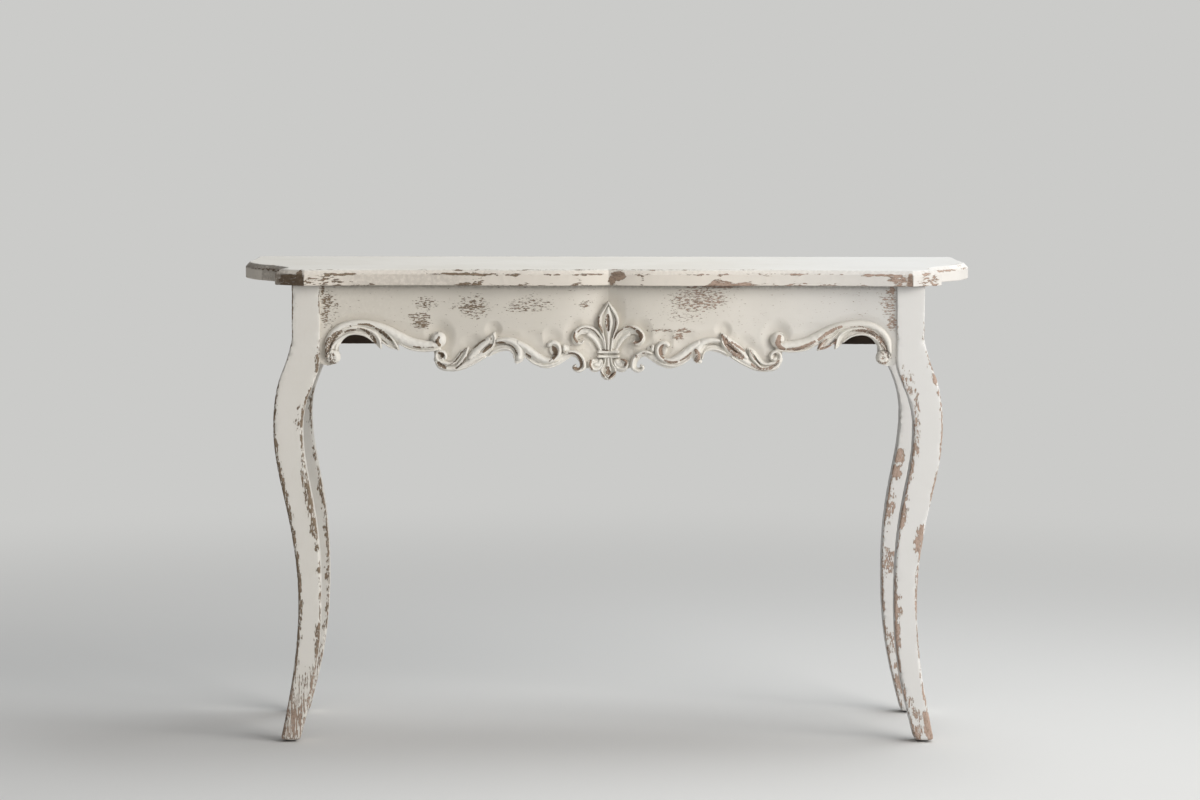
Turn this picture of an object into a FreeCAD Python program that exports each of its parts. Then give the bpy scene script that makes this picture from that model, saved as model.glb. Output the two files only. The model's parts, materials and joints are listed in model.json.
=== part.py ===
"""Pier table with four cabriole legs, a serpentine top and a carved serpentine front apron.

Millimetres. X runs along the table, +Y towards the wall, +Z up. The origin is on the floor
under the middle of the top. One STEP file is written for each physical piece.
"""
import FreeCAD, Part
import os

V = FreeCAD.Vector

# ---- overall size ----
table_width = 1234.0          # across the two side lobes of the top
table_depth = 380.0           # front corners to the back edge
table_height = 797.0          # floor to the top face

# ---- top ----
top_thickness = 26.5
top_bevel = 7.5               # chamfer on the upper edge, at the front and sides
board_width = table_depth / 3 # three edge-glued boards
top_dowel_diameter = 8.0
top_dowel_length = 40.0
top_dowel_spacing = 190.0
top_dowels_per_joint = 5

# ---- legs ----
side_overhang = 89.0          # widest point of the top to the outer face of a leg's post
front_setback = 22.0          # front corners of the top to the front face of a leg
corner_inset = 21.5           # outer face of a post to the front corner of the top, inwards
back_setback = 4.0            # back edge of the top to the back face of a leg
post_width = 46.5             # along X
leg_depth = 44.0              # along Y
post_length = 91.0            # straight part of a leg, below the top
leg_arris = 4.0               # rounding of a leg's long edges

# ---- glides under the feet ----
glide_diameter = 18.0
glide_thickness = 4.0
glide_edge = 1.2
nail_diameter = 2.0
nail_length = 15.0            # above the glide
nail_head_diameter = 5.0
nail_head_thickness = 1.2
nail_recess = 1.0             # glide's lower face to the head

# ---- aprons ----
apron_reveal = 2.0            # the front apron's face lies this far behind the legs' faces
rail_thickness = 20.0         # back and side aprons
rail_height = 123.0
side_rail_inset = 5.0         # outer face of a post to the outer face of a side apron
tenon_thickness = 10.0
tenon_height = 75.0
tenon_shoulder = 10.0         # upper edge of an apron to the top of its tenon
apron_tenon_length = 21.0     # front and back aprons
side_tenon_length = 16.0
front_tenon_inset = 16.0      # front face of a leg to the front apron's tenon

# ---- applied carvings ----
carving_span = 481.0          # half length of the apron that the scrolls are drawn on
scroll_relief = 11.0
leaf_relief = 12.0
fleur_relief = 14.0

# ---- blocks, brace and screws ----
block_leg = 80.0              # corner block, along each apron
block_nose = 14.0             # its squared-off tips
block_height = 32.0
brace_width = 60.0
brace_tenon = 6.0
glue_block_side = 26.0
glue_block_length = 55.0
glue_block_places = (150.0, 320.0)
screw_shank = 4.0
screw_length = 40.0
top_screw_length = 45.0
screw_head = 8.0
screw_head_thickness = 2.5
screw_bite = 18.0             # how far a side screw reaches into an apron
block_screw_place = 55.0      # side screws, from the corner along the apron
top_screw_place = 24.0        # vertical screw of a corner block, from both aprons
brace_screw_inset = 19.0      # vertical screws of the brace, from the front and back aprons

# ---- clearances ----
glue_gap = 0.1                # each glued or screwed joint, each side

# ---- derived places ----
half_width = table_width / 2
front_y = -table_depth / 2
back_y = table_depth / 2
under_top = table_height - top_thickness
post_outer = half_width - side_overhang
post_inner = post_outer - post_width
leg_front_y = front_y + front_setback
apron_back_y = leg_front_y + leg_depth
back_leg_back_y = back_y - back_setback
rail_front_y = back_leg_back_y - leg_depth
side_rail_outer = post_outer - side_rail_inset
side_rail_inner = side_rail_outer - rail_thickness
apron_setback = front_setback + apron_reveal
stretch = post_inner / carving_span
corner_x = post_outer - corner_inset

# Front edge of the top, right half: (x, depth behind the front corners). It starts in the
# sharp notch at the middle, swells, falls back and comes forward to the corner.
serpentine = [(0, 27), (20, 20), (45, 14), (90, 10), (150, 11), (220, 16), (300, 19.5), (380, 17),
              (450, 9)]

# Side edge of the top, from the outer corner of the canted ear to the back corner:
# (inset from the widest point, distance behind the front corners).
ear_inset = 61.0
ear_depth = 28.0
side_curve = [(74, 56), (69, 84), (56, 110), (39, 132), (22, 153), (11, 178), (2, 205), (0, 226)]
side_back_curve = [(5, 100), (8, 40), (10, 0)]       # (inset, distance in front of the back edge)

# Cabriole curve of a leg, as (share of the height from foot to post, shift outwards). The
# inner face of the post runs straight on to the start of its curve.
outer_curve = [(1.0, 0.0), (0.95, 9.0), (0.9, 21.5), (0.83, 30.5), (0.76, 31.5), (0.7, 27.3),
               (0.59, 12.0), (0.46, -3.8), (0.35, -9.0), (0.24, -5.5), (0.12, 5.5), (0.0, 21.5)]
inner_curve = [(0.95, 0.0), (0.93, 2.0), (0.9, 8.5), (0.83, 25.5), (0.76, 29.5), (0.7, 26.0),
               (0.59, 12.5), (0.46, 1.5), (0.35, -0.3), (0.24, 3.0), (0.12, 15.5), (0.0, 35.5)]
foot_x = (post_outer + outer_curve[-1][1] + post_inner + inner_curve[-1][1]) / 2

# Lower edge of the front apron, right half, from the leg to the middle: smooth runs that
# meet in notches. Each point is (x, drop below the top).
apron_edge = [
    [(carving_span, 131), (469, 135), (458, 132), (450, 120), (453, 102)],
    [(453, 102), (444, 89), (434, 82), (420, 78), (404, 81), (387, 94)],
    [(387, 94), (361, 101), (341, 102), (325, 107), (292, 111)],
    [(292, 111), (284, 134), (262, 142), (240, 138), (203, 117), (177, 105), (158, 109), (151, 126)],
    [(151, 126), (141, 120)],
    [(141, 120), (125, 130), (105, 134), (85, 127), (61, 116), (46, 123), (43, 138)],
    [(43, 138), (28, 141), (14, 141)],
    [(14, 141), (9, 149), (0, 156)],
]

# Centre lines of the carved strokes, right half: (x, drop below the top, half width).
arch_scroll = [
    [(462, 110, 7), (457, 93, 11.5), (445, 79, 11.5), (430, 72, 11), (412, 70, 10.5), (394, 72, 9),
     (377, 77, 8.5), (360, 86, 8.5), (344, 94, 9), (325, 101, 9.5), (307, 104, 9.5), (288, 102, 9)],
    [(414, 75, 6), (400, 80, 7.5), (391, 89, 6.5), (384, 99, 4.5), (380, 106, 2)],
    [(386, 75, 5), (373, 85, 8), (362, 96, 7), (355, 104, 4), (351, 109, 2)],
]
arch_volutes = [(459, 121, 11.7), (284, 93, 12.5)]
leaf_scroll = [
    [(286, 125, 6), (279, 135, 7.5), (265, 139, 6.5), (252, 138, 6.7), (239, 132, 8.5), (223, 122, 10),
     (208, 110, 11), (198, 98, 9.5), (193, 88, 6), (190, 81, 2)],
    [(262, 136, 5), (250, 127, 7), (242, 116, 6.5), (235, 107, 2.5)],
]
leaf_volutes = [(280, 120, 10.0)]
wave_scroll = [
    [(200, 116, 4.5), (189, 110, 5), (178, 106, 5.5), (165, 107, 4), (155, 114, 4)],
    [(182, 94, 4.5), (171, 93, 5), (158, 97, 7.5), (149, 105, 9), (146, 115, 6.5), (148, 124, 6),
     (153, 128, 4)],
    [(147, 105, 8), (130, 117, 9), (116, 127, 9), (101, 131, 8.5), (85, 126, 8), (66, 118, 4)],
]
wave_volutes = [(92, 108, 14.0)]
inner_scroll = [
    [(76, 120, 4.5), (68, 116, 5), (58, 115, 5), (49, 120, 5.5), (43, 129, 5.5), (43, 138, 5),
     (50, 143, 4), (57, 139, 3.5)],
]
inner_volutes = [(71, 107, 6.0)]
fleur_side = [
    [(5, 114, 4), (10, 104, 4.5), (14, 94, 6.5), (21, 84, 7.5), (33, 77, 7), (44, 76, 6.3),
     (54, 82, 5.5), (57, 91, 4.7), (52, 98, 3.7), (45, 97, 2.8)],
]
fleur_base = (22, 136, 11.0)
petal_outline = [(0, 28), (9, 41), (18, 54), (18.5, 65), (13, 83), (7, 99), (6, 113)]
tail_outline = [(8, 119), (10, 135), (15.5, 147), (9, 154), (0, 160)]
fleur_band = (17.5, 112.0, 122.5)       # half width, upper edge and lower edge of the ring


def box(x0, x1, y0, y1, z0, z1):
    """Block between two corners, in any order along each axis."""
    low = V(min(x0, x1), min(y0, y1), min(z0, z1))
    return Part.makeBox(abs(x1 - x0), abs(y1 - y0), abs(z1 - z0), low)


def rod(diameter, start, direction, length):
    return Part.makeCylinder(diameter / 2, length, start, direction)


def spline(points):
    """Smooth edge through the points, or a straight one between two."""
    if len(points) == 2:
        return Part.LineSegment(points[0], points[1]).toShape()
    curve = Part.BSplineCurve()
    curve.interpolate(points)
    return curve.toShape()


def path(points):
    """Straight edges from point to point."""
    return [spline([a, b]) for a, b in zip(points, points[1:])]


def fuse_all(shapes):
    first, rest = shapes[0], shapes[1:]
    return first.fuse(rest).removeSplitter() if rest else first


def drawn(x, drop, side=1):
    """A point of the carving drawing in the XZ plane; side -1 is the mirrored half."""
    return V(side * x * stretch, 0, under_top - drop)


# ---- front edge ----
def serpentine_edges(setback, z):
    """The serpentine front line moved back by setback: its left half and its right half."""
    halves = []
    for side in (-1, 1):
        points = [V(side * x * stretch, front_y + depth + setback, z) for x, depth in serpentine]
        points.append(V(side * corner_x, front_y + setback, z))
        halves.append(points)
    return [spline(halves[0][::-1]), spline(halves[1])]


def front_slab(front, back, z0, z1):
    """Prism between the serpentine at setback front and, behind it, another one or a plane."""
    front_line = serpentine_edges(front, z0)
    left, right = front_line[0].Vertexes[0].Point, front_line[1].Vertexes[-1].Point
    if back is None:
        far_left, far_right = V(left.x, apron_back_y, z0), V(right.x, apron_back_y, z0)
        back_line = [spline([far_left, far_right])]
    else:
        back_line = serpentine_edges(back, z0)
        far_left, far_right = back_line[0].Vertexes[0].Point, back_line[1].Vertexes[-1].Point
    edges = front_line + back_line + [spline([left, far_left]), spline([right, far_right])]
    wire = Part.Wire(Part.__sortEdges__(edges))
    return Part.Face(wire).extrude(V(0, 0, z1 - z0))


# ---- top ----
def make_top():
    """Whole top in one solid, before it is divided into boards."""
    sides = []
    for side in (-1, 1):
        corner = V(side * corner_x, front_y, under_top)
        ear = V(side * (half_width - ear_inset), front_y + ear_depth, under_top)
        places = [(inset, front_y + depth) for inset, depth in side_curve]
        places += [(inset, back_y - ahead) for inset, ahead in side_back_curve]
        points = [ear] + [V(side * (half_width - inset), y, under_top) for inset, y in places]
        sides.append((corner, ear, points))
    edges = serpentine_edges(0, under_top)
    for corner, ear, points in sides:
        edges += [spline([corner, ear]), spline(points)]
    edges.append(spline([sides[0][2][-1], sides[1][2][-1]]))
    wire = Part.Wire(Part.__sortEdges__(edges))
    top = Part.Face(wire).extrude(V(0, 0, top_thickness))
    rim = [e for e in top.Edges if e.BoundBox.ZMin > table_height - 0.01]
    return top.makeChamfer(top_bevel, [e for e in rim if e.BoundBox.YMin < back_y - 1])


def top_dowels():
    """Starting points of the dowels that line up the two edge joints."""
    first = -top_dowel_spacing * (top_dowels_per_joint - 1) / 2
    places = [first + i * top_dowel_spacing for i in range(top_dowels_per_joint)]
    middle = under_top + top_thickness / 2
    starts = [seam - top_dowel_length / 2 for seam in (-board_width / 2, board_width / 2)]
    return [V(x, y, middle) for y in starts for x in places]


# ---- legs ----
def leg_outline():
    """Closed outline of the right-hand leg in the XZ plane."""
    curve_height = under_top - post_length - glide_thickness

    def run(face, curve):
        return [V(face + shift, 0, glide_thickness + share * curve_height) for share, shift in curve]

    outer = run(post_outer, outer_curve)
    inner = run(post_inner, inner_curve)
    head = path([inner[0], V(post_inner, 0, under_top), V(post_outer, 0, under_top), outer[0]])
    edges = head + [spline(outer), spline([outer[-1], inner[-1]]), spline(inner)]
    return Part.Wire(Part.__sortEdges__(edges))


def make_leg(back):
    """Right-hand leg with its mortises; the left-hand one is its mirror image."""
    y0 = rail_front_y if back else leg_front_y
    solid = Part.Face(leg_outline()).extrude(V(0, leg_depth, 0))
    solid.translate(V(0, y0, 0))
    outline_edges = [e for e in solid.Edges if e.BoundBox.YLength < 0.01]
    long_edges = [e for e in outline_edges if e.BoundBox.ZLength > post_length / 2]
    solid = solid.makeFillet(leg_arris, long_edges)
    solid = solid.cut(nail_hole(foot_x, y0 + leg_depth / 2))
    rail_tenon = back_tenon_y() if back else front_tenon_y()
    solid = solid.cut(tenon_along_x(rail_tenon, 1, glue_gap))
    return solid.cut(side_tenon(back, 1, glue_gap))


def foot_centres():
    rows = {-1: leg_front_y + leg_depth / 2, 1: rail_front_y + leg_depth / 2}
    return {corner: (sx * foot_x, rows[sy]) for corner, (sx, sy) in corner_signs().items()}


# ---- glides ----
def make_glide(x, y):
    pad = rod(glide_diameter, V(x, y, 0), V(0, 0, 1), glide_thickness)
    rim = [e for e in pad.Edges if e.BoundBox.ZMax < 0.01]
    pad = pad.makeFillet(glide_edge, rim)
    pocket = rod(nail_head_diameter + 2 * glue_gap, V(x, y, 0), V(0, 0, 1), nail_recess + nail_head_thickness)
    return pad.cut(pocket).cut(nail_hole(x, y))


def nail_hole(x, y):
    length = glide_thickness + nail_length + glue_gap
    return rod(nail_diameter + 2 * glue_gap, V(x, y, 0), V(0, 0, 1), length)


def make_nail(x, y):
    start = V(x, y, nail_recess)
    head = rod(nail_head_diameter, start, V(0, 0, 1), nail_head_thickness)
    shank = rod(nail_diameter, start, V(0, 0, 1), glide_thickness + nail_length - nail_recess)
    return head.fuse(shank).removeSplitter()


# ---- tenons ----
def front_tenon_y():
    return leg_front_y + front_tenon_inset


def back_tenon_y():
    return rail_front_y + (rail_thickness - tenon_thickness) / 2


def tenon_along_x(y, side, gap=0.0):
    """Tenon of the front or back apron in the leg on that side, or its mortise with a gap."""
    z1 = under_top - tenon_shoulder + gap
    z0 = under_top - tenon_shoulder - tenon_height - gap
    inner, tip = side * post_inner, side * (post_inner + apron_tenon_length + gap)
    return box(inner, tip, y - gap, y + tenon_thickness + gap, z0, z1)


def side_tenon(back, side, gap=0.0):
    """Tenon of a side apron in its front or back leg, or its mortise with a gap."""
    z1 = under_top - tenon_shoulder + gap
    z0 = under_top - tenon_shoulder - tenon_height - gap
    face, into = (rail_front_y, 1) if back else (apron_back_y, -1)
    middle = side * (side_rail_outer - rail_thickness / 2)
    half = tenon_thickness / 2 + gap
    return box(middle - half, middle + half, face, face + into * (side_tenon_length + gap), z0, z1)


# ---- aprons ----
def make_front_apron():
    """Serpentine board with a sawn lower edge, stub mortise for the brace and end tenons."""
    edges = []
    for side in (-1, 1):
        for run in apron_edge:
            edges.append(spline([drawn(x, drop, side) for x, drop in run]))
    end_drop = apron_edge[0][0][1]
    left, right = drawn(carving_span, end_drop, -1), drawn(carving_span, end_drop)
    edges += path([left, V(left.x, 0, under_top), V(right.x, 0, under_top), right])
    face = Part.Face(Part.Wire(Part.__sortEdges__(edges)))
    board = face.extrude(V(0, 2 * table_depth, 0))
    board.translate(V(0, -table_depth, 0))
    board = board.common(front_slab(apron_setback, None, under_top - table_height / 2, under_top))
    board = board.cut(brace_tenon_box(-1, glue_gap)).cut(block_screw_holes())
    tenons = [tenon_along_x(front_tenon_y(), side) for side in (-1, 1)]
    return board.fuse(tenons).removeSplitter()


def make_back_apron():
    board = box(-post_inner, post_inner, rail_front_y, rail_front_y + rail_thickness,
                under_top - rail_height, under_top)
    board = board.cut(brace_tenon_box(1, glue_gap)).cut(block_screw_holes())
    tenons = [tenon_along_x(back_tenon_y(), side) for side in (-1, 1)]
    return board.fuse(tenons).removeSplitter()


def make_side_apron(side):
    board = box(side * side_rail_inner, side * side_rail_outer, apron_back_y, rail_front_y,
                under_top - rail_height, under_top)
    board = board.cut(block_screw_holes())
    return board.fuse([side_tenon(back, side) for back in (False, True)]).removeSplitter()


# ---- carvings ----
def stroke_face(stroke, side):
    """Tapering band about a smooth centre line, with round ends, in the XZ plane."""
    centre = [drawn(x, drop, side) for x, drop, half in stroke]
    halves = [half for x, drop, half in stroke]
    upper, lower = [], []
    for i, point in enumerate(centre):
        before, after = centre[max(i - 1, 0)], centre[min(i + 1, len(centre) - 1)]
        along = (after - before).normalize()
        across = V(-along.z, 0, along.x)
        upper.append(point + across * halves[i])
        lower.append(point - across * halves[i])
    start = centre[0] - (centre[1] - centre[0]).normalize() * halves[0]
    end = centre[-1] + (centre[-1] - centre[-2]).normalize() * halves[-1]
    caps = [Part.Arc(lower[0], start, upper[0]).toShape(), Part.Arc(upper[-1], end, lower[-1]).toShape()]
    return Part.Face(Part.Wire(Part.__sortEdges__([spline(upper), spline(lower)] + caps)))


def disc_face(disc, side):
    x, drop, radius = disc
    circle = Part.Circle(drawn(x, drop, side), V(0, 1, 0), radius).toShape()
    return Part.Face(Part.Wire([circle]))


def mirrored_face(outline):
    """Face whose right half is the smooth outline and whose left half mirrors it."""
    right = spline([drawn(x, drop) for x, drop in outline])
    left = spline([drawn(x, drop, -1) for x, drop in outline])
    edges = [right, left]
    for x, drop in (outline[0], outline[-1]):
        if x:
            edges.append(spline([drawn(x, drop, -1), drawn(x, drop)]))
    return Part.Face(Part.Wire(Part.__sortEdges__(edges)))


def carve(faces, relief):
    """Solid carving on the apron's serpentine face from outlines in the XZ plane."""
    prisms = [face.extrude(V(0, table_depth, 0)) for face in faces]
    solid = fuse_all(prisms)
    solid.translate(V(0, -table_depth, 0))
    front, back = apron_setback - relief, apron_setback - glue_gap
    slab = front_slab(front, back, under_top - table_height / 2, under_top)
    return solid.common(slab).removeSplitter()


def make_carving(strokes, discs, relief, side):
    faces = [stroke_face(stroke, side) for stroke in strokes]
    faces += [disc_face(disc, side) for disc in discs]
    return carve(faces, relief)


def make_fleur():
    half, upper, lower = fleur_band
    corners = [(-half, upper), (half, upper), (half, lower), (-half, lower), (-half, upper)]
    ring = Part.Face(Part.Wire(path([drawn(x, drop) for x, drop in corners])))
    faces = [mirrored_face(petal_outline), mirrored_face(tail_outline), ring]
    for side in (-1, 1):
        faces += [stroke_face(stroke, side) for stroke in fleur_side]
        faces.append(disc_face(fleur_base, side))
    return carve(faces, fleur_relief)


# ---- blocks, brace and screws ----
def corner_signs():
    rows, sides = {"front": -1, "back": 1}, {"left": -1, "right": 1}
    return {(row, name): (sx, sy) for row, sy in rows.items() for name, sx in sides.items()}


def block_point(sx, sy, inward_x, inward_y, z):
    """A point measured inwards from the inner corner of the frame on that side."""
    corner_y = apron_back_y if sy < 0 else rail_front_y
    return V(sx * (side_rail_inner - inward_x), corner_y - sy * inward_y, z)


def make_corner_block(sx, sy):
    places = [(0, 0), (block_leg, 0), (block_leg, block_nose)]
    places += [(block_nose, block_leg), (0, block_leg), (0, 0)]
    z = under_top - block_height
    points = [block_point(sx, sy, a, b, z) for a, b in places]
    block = Part.Face(Part.Wire(path(points))).extrude(V(0, 0, block_height))
    hole = screw_shank + 2 * glue_gap
    top_screw = block_point(sx, sy, top_screw_place, top_screw_place, z)
    block = block.cut(rod(hole, top_screw, V(0, 0, 1), block_height))
    block = block.cut(block_screw_holes())
    for start, direction in block_screw_places(sx, sy):
        pocket = rod(screw_head + 2 * glue_gap, start, direction * -1, block_leg)
        block = block.cut(pocket)
    return block


def block_screw_places(sx, sy):
    """Seat of the head and the driving direction of a corner block's two side screws."""
    z = under_top - block_height / 2
    reach = screw_length - screw_bite
    to_rail = (block_point(sx, sy, block_screw_place, reach, z), V(0, sy, 0))
    to_side = (block_point(sx, sy, reach, block_screw_place, z), V(sx, 0, 0))
    return [to_rail, to_side]


def block_screw_holes():
    holes = []
    for sx, sy in corner_signs().values():
        for start, direction in block_screw_places(sx, sy):
            holes.append(rod(screw_shank + 2 * glue_gap, start, direction, screw_length + glue_gap))
    return Part.makeCompound(holes)


def make_screw(start, direction, length):
    """Pan-head wood screw whose head sits on start and whose shank runs along direction."""
    head = rod(screw_head, start, direction * -1, screw_head_thickness)
    shank = rod(screw_shank, start, direction, length)
    return head.fuse(shank).removeSplitter()


def brace_tenon_box(end, gap=0.0):
    """Stub tenon of the brace in the front (-1) or back (1) apron, or its mortise."""
    face = apron_back_y if end < 0 else rail_front_y
    half = brace_width / 2 - tenon_shoulder + gap
    z0, z1 = under_top - block_height - gap, under_top - tenon_shoulder + gap
    return box(-half, half, face, face + end * (brace_tenon + gap), z0, z1)


def brace_screw_points():
    places = (apron_back_y + brace_screw_inset, rail_front_y - brace_screw_inset)
    return [V(0, y, under_top - block_height) for y in places]


def make_brace():
    half = brace_width / 2
    brace = box(-half, half, apron_back_y, rail_front_y, under_top - block_height, under_top)
    brace = brace.fuse([brace_tenon_box(end) for end in (-1, 1)]).removeSplitter()
    for point in brace_screw_points():
        brace = brace.cut(rod(screw_shank + 2 * glue_gap, point, V(0, 0, 1), block_height))
    return brace


def top_screw_points():
    z, place = under_top - block_height, top_screw_place
    at_corners = [block_point(sx, sy, place, place, z) for sx, sy in corner_signs().values()]
    return at_corners + brace_screw_points()


def make_glue_blocks():
    """Three-sided blocks in the angle between the top and the front and back aprons."""
    blocks = []
    for face, into in ((apron_back_y, 1), (rail_front_y, -1)):
        a = V(0, face, under_top)
        b = V(0, face + into * glue_block_side, under_top)
        c = V(0, face, under_top - glue_block_side)
        section = Part.Face(Part.Wire(path([a, b, c, a])))
        for side in (-1, 1):
            for place in glue_block_places:
                block = section.extrude(V(glue_block_length, 0, 0))
                block.translate(V(side * place - glue_block_length / 2, 0, 0))
                blocks.append(block)
    return Part.makeCompound(blocks)


# ---- all pieces ----
def build():
    nodes = {}
    top = make_top()
    dowel_starts = top_dowels()
    along_y = V(0, 1, 0)
    for start in dowel_starts:
        hole_start, hole_length = start - along_y * glue_gap, top_dowel_length + 2 * glue_gap
        top = top.cut(rod(top_dowel_diameter + 2 * glue_gap, hole_start, along_y, hole_length))
    for point in top_screw_points():
        depth = top_screw_length + glue_gap
        top = top.cut(rod(screw_shank + 2 * glue_gap, point, V(0, 0, 1), depth))
    seam = board_width / 2
    for name, y0, y1 in (("front", front_y - 1, -seam), ("middle", -seam, seam), ("back", seam, back_y + 1)):
        band = box(-table_width, table_width, y0, y1, under_top - 1, table_height + 1)
        nodes["top_board_" + name] = top.common(band)
    dowels = [rod(top_dowel_diameter, start, along_y, top_dowel_length) for start in dowel_starts]
    nodes["top_dowels"] = Part.makeCompound(dowels)

    for row, back in (("front", False), ("back", True)):
        leg = make_leg(back)
        nodes["leg_" + row + "_right"] = leg
        nodes["leg_" + row + "_left"] = leg.mirror(V(0, 0, 0), V(1, 0, 0))

    nodes["front_apron"] = make_front_apron()
    nodes["back_apron"] = make_back_apron()
    carvings = {
        "end_arch_scroll": (arch_scroll, arch_volutes, scroll_relief),
        "leaf_scroll": (leaf_scroll, leaf_volutes, leaf_relief),
        "wave_scroll": (wave_scroll, wave_volutes, scroll_relief),
        "inner_scroll": (inner_scroll, inner_volutes, scroll_relief),
    }
    for name, side in (("left", -1), ("right", 1)):
        nodes["side_apron_" + name] = make_side_apron(side)
        neighbour = None
        for carving, (strokes, discs, relief) in carvings.items():
            piece = make_carving(strokes, discs, relief, side)
            nodes[carving + "_" + name] = piece.cut(neighbour) if neighbour else piece
            neighbour = piece
    nodes["fleur_de_lis"] = make_fleur()

    block_screws = []
    for (row, name), (sx, sy) in corner_signs().items():
        nodes["corner_block_" + row + "_" + name] = make_corner_block(sx, sy)
        for start, direction in block_screw_places(sx, sy):
            block_screws.append(make_screw(start, direction, screw_length))
    nodes["corner_block_screws"] = Part.makeCompound(block_screws)
    nodes["centre_brace"] = make_brace()
    top_screws = [make_screw(point, V(0, 0, 1), top_screw_length) for point in top_screw_points()]
    nodes["top_screws"] = Part.makeCompound(top_screws)
    nodes["glue_blocks"] = make_glue_blocks()

    nails = []
    for (row, name), (x, y) in foot_centres().items():
        nodes["glide_" + row + "_" + name] = make_glide(x, y)
        nails.append(make_nail(x, y))
    nodes["glide_nails"] = Part.makeCompound(nails)
    return nodes


os.makedirs("parts", exist_ok=True)
for node, shape in build().items():
    shape.exportStep("parts/" + node + ".step")
    print(node, len(shape.Solids), "solids", "valid" if shape.isValid() else "NOT VALID", round(shape.Volume))
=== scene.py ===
"""The pier table's looks: chalky cream paint, rubbed and chipped down to brown wood, over the
serpentine top, the cabriole legs and the carved apron. Lengths are in metres unless a name or
a comment says millimetres, and the frame is the CAD's.
"""
import json
import math
import bpy
import numpy as np
from mathutils import Euler, Matrix, Vector


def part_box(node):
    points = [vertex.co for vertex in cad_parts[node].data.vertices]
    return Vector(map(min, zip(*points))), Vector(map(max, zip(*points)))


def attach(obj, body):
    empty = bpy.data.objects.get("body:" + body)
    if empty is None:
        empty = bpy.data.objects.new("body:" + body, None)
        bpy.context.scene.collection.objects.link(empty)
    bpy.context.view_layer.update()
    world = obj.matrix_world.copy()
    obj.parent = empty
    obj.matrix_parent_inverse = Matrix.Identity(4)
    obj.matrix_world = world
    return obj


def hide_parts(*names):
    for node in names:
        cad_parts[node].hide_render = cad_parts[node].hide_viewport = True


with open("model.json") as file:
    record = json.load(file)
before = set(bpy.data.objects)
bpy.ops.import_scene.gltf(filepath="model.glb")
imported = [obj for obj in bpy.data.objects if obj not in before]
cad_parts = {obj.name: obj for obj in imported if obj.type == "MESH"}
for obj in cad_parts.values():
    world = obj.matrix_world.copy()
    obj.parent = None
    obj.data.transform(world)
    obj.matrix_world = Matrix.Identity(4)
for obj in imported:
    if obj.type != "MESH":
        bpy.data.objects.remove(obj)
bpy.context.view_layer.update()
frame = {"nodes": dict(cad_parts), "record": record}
MM = 0.001
SIDES = (("left", -1), ("right", 1))


# ---- places taken from the frame ----
def box(node):
    """The low and the high corner of a CAD node."""
    low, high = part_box(node)
    return np.array(low), np.array(high)


TOP_BOARDS = ["top_board_front", "top_board_middle", "top_board_back"]
leg_boxes = {row: box("leg_%s_right" % row) for row in ("front", "back")}
HALF_WIDTH = max(box(board)[1][0] for board in TOP_BOARDS)
FRONT_Y = box("top_board_front")[0][1]
(_, _, UNDER_TOP), (_, BACK_Y, TOP_Z) = box("top_board_back")
FOOT_Z = leg_boxes["front"][0][2]
LEG_Y = {row: (low[1], high[1]) for row, (low, high) in leg_boxes.items()}
APRON_BACK = LEG_Y["front"][1]

# ---- driving sizes, as in the CAD ----
TOP_BEVEL = 7.5 * MM
POST_INNER, POST_OUTER = 481.5 * MM, 528 * MM
POST_LENGTH = 91 * MM
APRON_SETBACK = 24 * MM
LEG_ARRIS = 4 * MM

# Front edge of the top, right half: (x, depth behind the front corners), millimetres.
SERPENTINE = [(0, 27), (20, 20), (45, 14), (90, 10), (150, 11), (220, 16), (300, 19.5), (380, 17), (450, 9),
              (506.5, 0)]
# Side edge of the top: (inset from the widest point, distance behind the front corners), and
# its end by the wall as (inset, distance in front of the back edge), millimetres.
SIDE_CURVE = [(61, 28), (74, 56), (69, 84), (56, 110), (39, 132), (22, 153), (11, 178), (2, 205), (0, 226)]
SIDE_BACK_CURVE = [(5, 100), (8, 40), (10, 0)]
# Cabriole curves of a leg: (share of the height from foot to post, shift outwards in mm).
OUTER_CURVE = [(1.0, 0.0), (0.95, 9.0), (0.9, 21.5), (0.83, 30.5), (0.76, 31.5), (0.7, 27.3), (0.59, 12.0),
               (0.46, -3.8), (0.35, -9.0), (0.24, -5.5), (0.12, 5.5), (0.0, 21.5)]
INNER_CURVE = [(0.95, 0.0), (0.93, 2.0), (0.9, 8.5), (0.83, 25.5), (0.76, 29.5), (0.7, 26.0), (0.59, 12.5),
               (0.46, 1.5), (0.35, -0.3), (0.24, 3.0), (0.12, 15.5), (0.0, 35.5)]
# Lower edge of the front apron, right half, from the leg to the middle: (x, drop), millimetres.
APRON_EDGE = [
    [(481.5, 131), (469, 135), (458, 132), (452, 120), (451, 102)],
    [(451, 102), (444, 89), (434, 82), (420, 78), (404, 81), (387, 94)],
    [(387, 94), (361, 101), (341, 102), (325, 107), (292, 111)],
    [(292, 111), (284, 134), (262, 142), (240, 138), (203, 117), (177, 105), (158, 109), (151, 126)],
    [(151, 126), (141, 120)],
    [(141, 120), (125, 130), (105, 134), (85, 127), (61, 116), (46, 123), (43, 138)],
    [(43, 138), (28, 141), (14, 141)],
    [(14, 141), (9, 149), (0, 156)],
]


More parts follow.
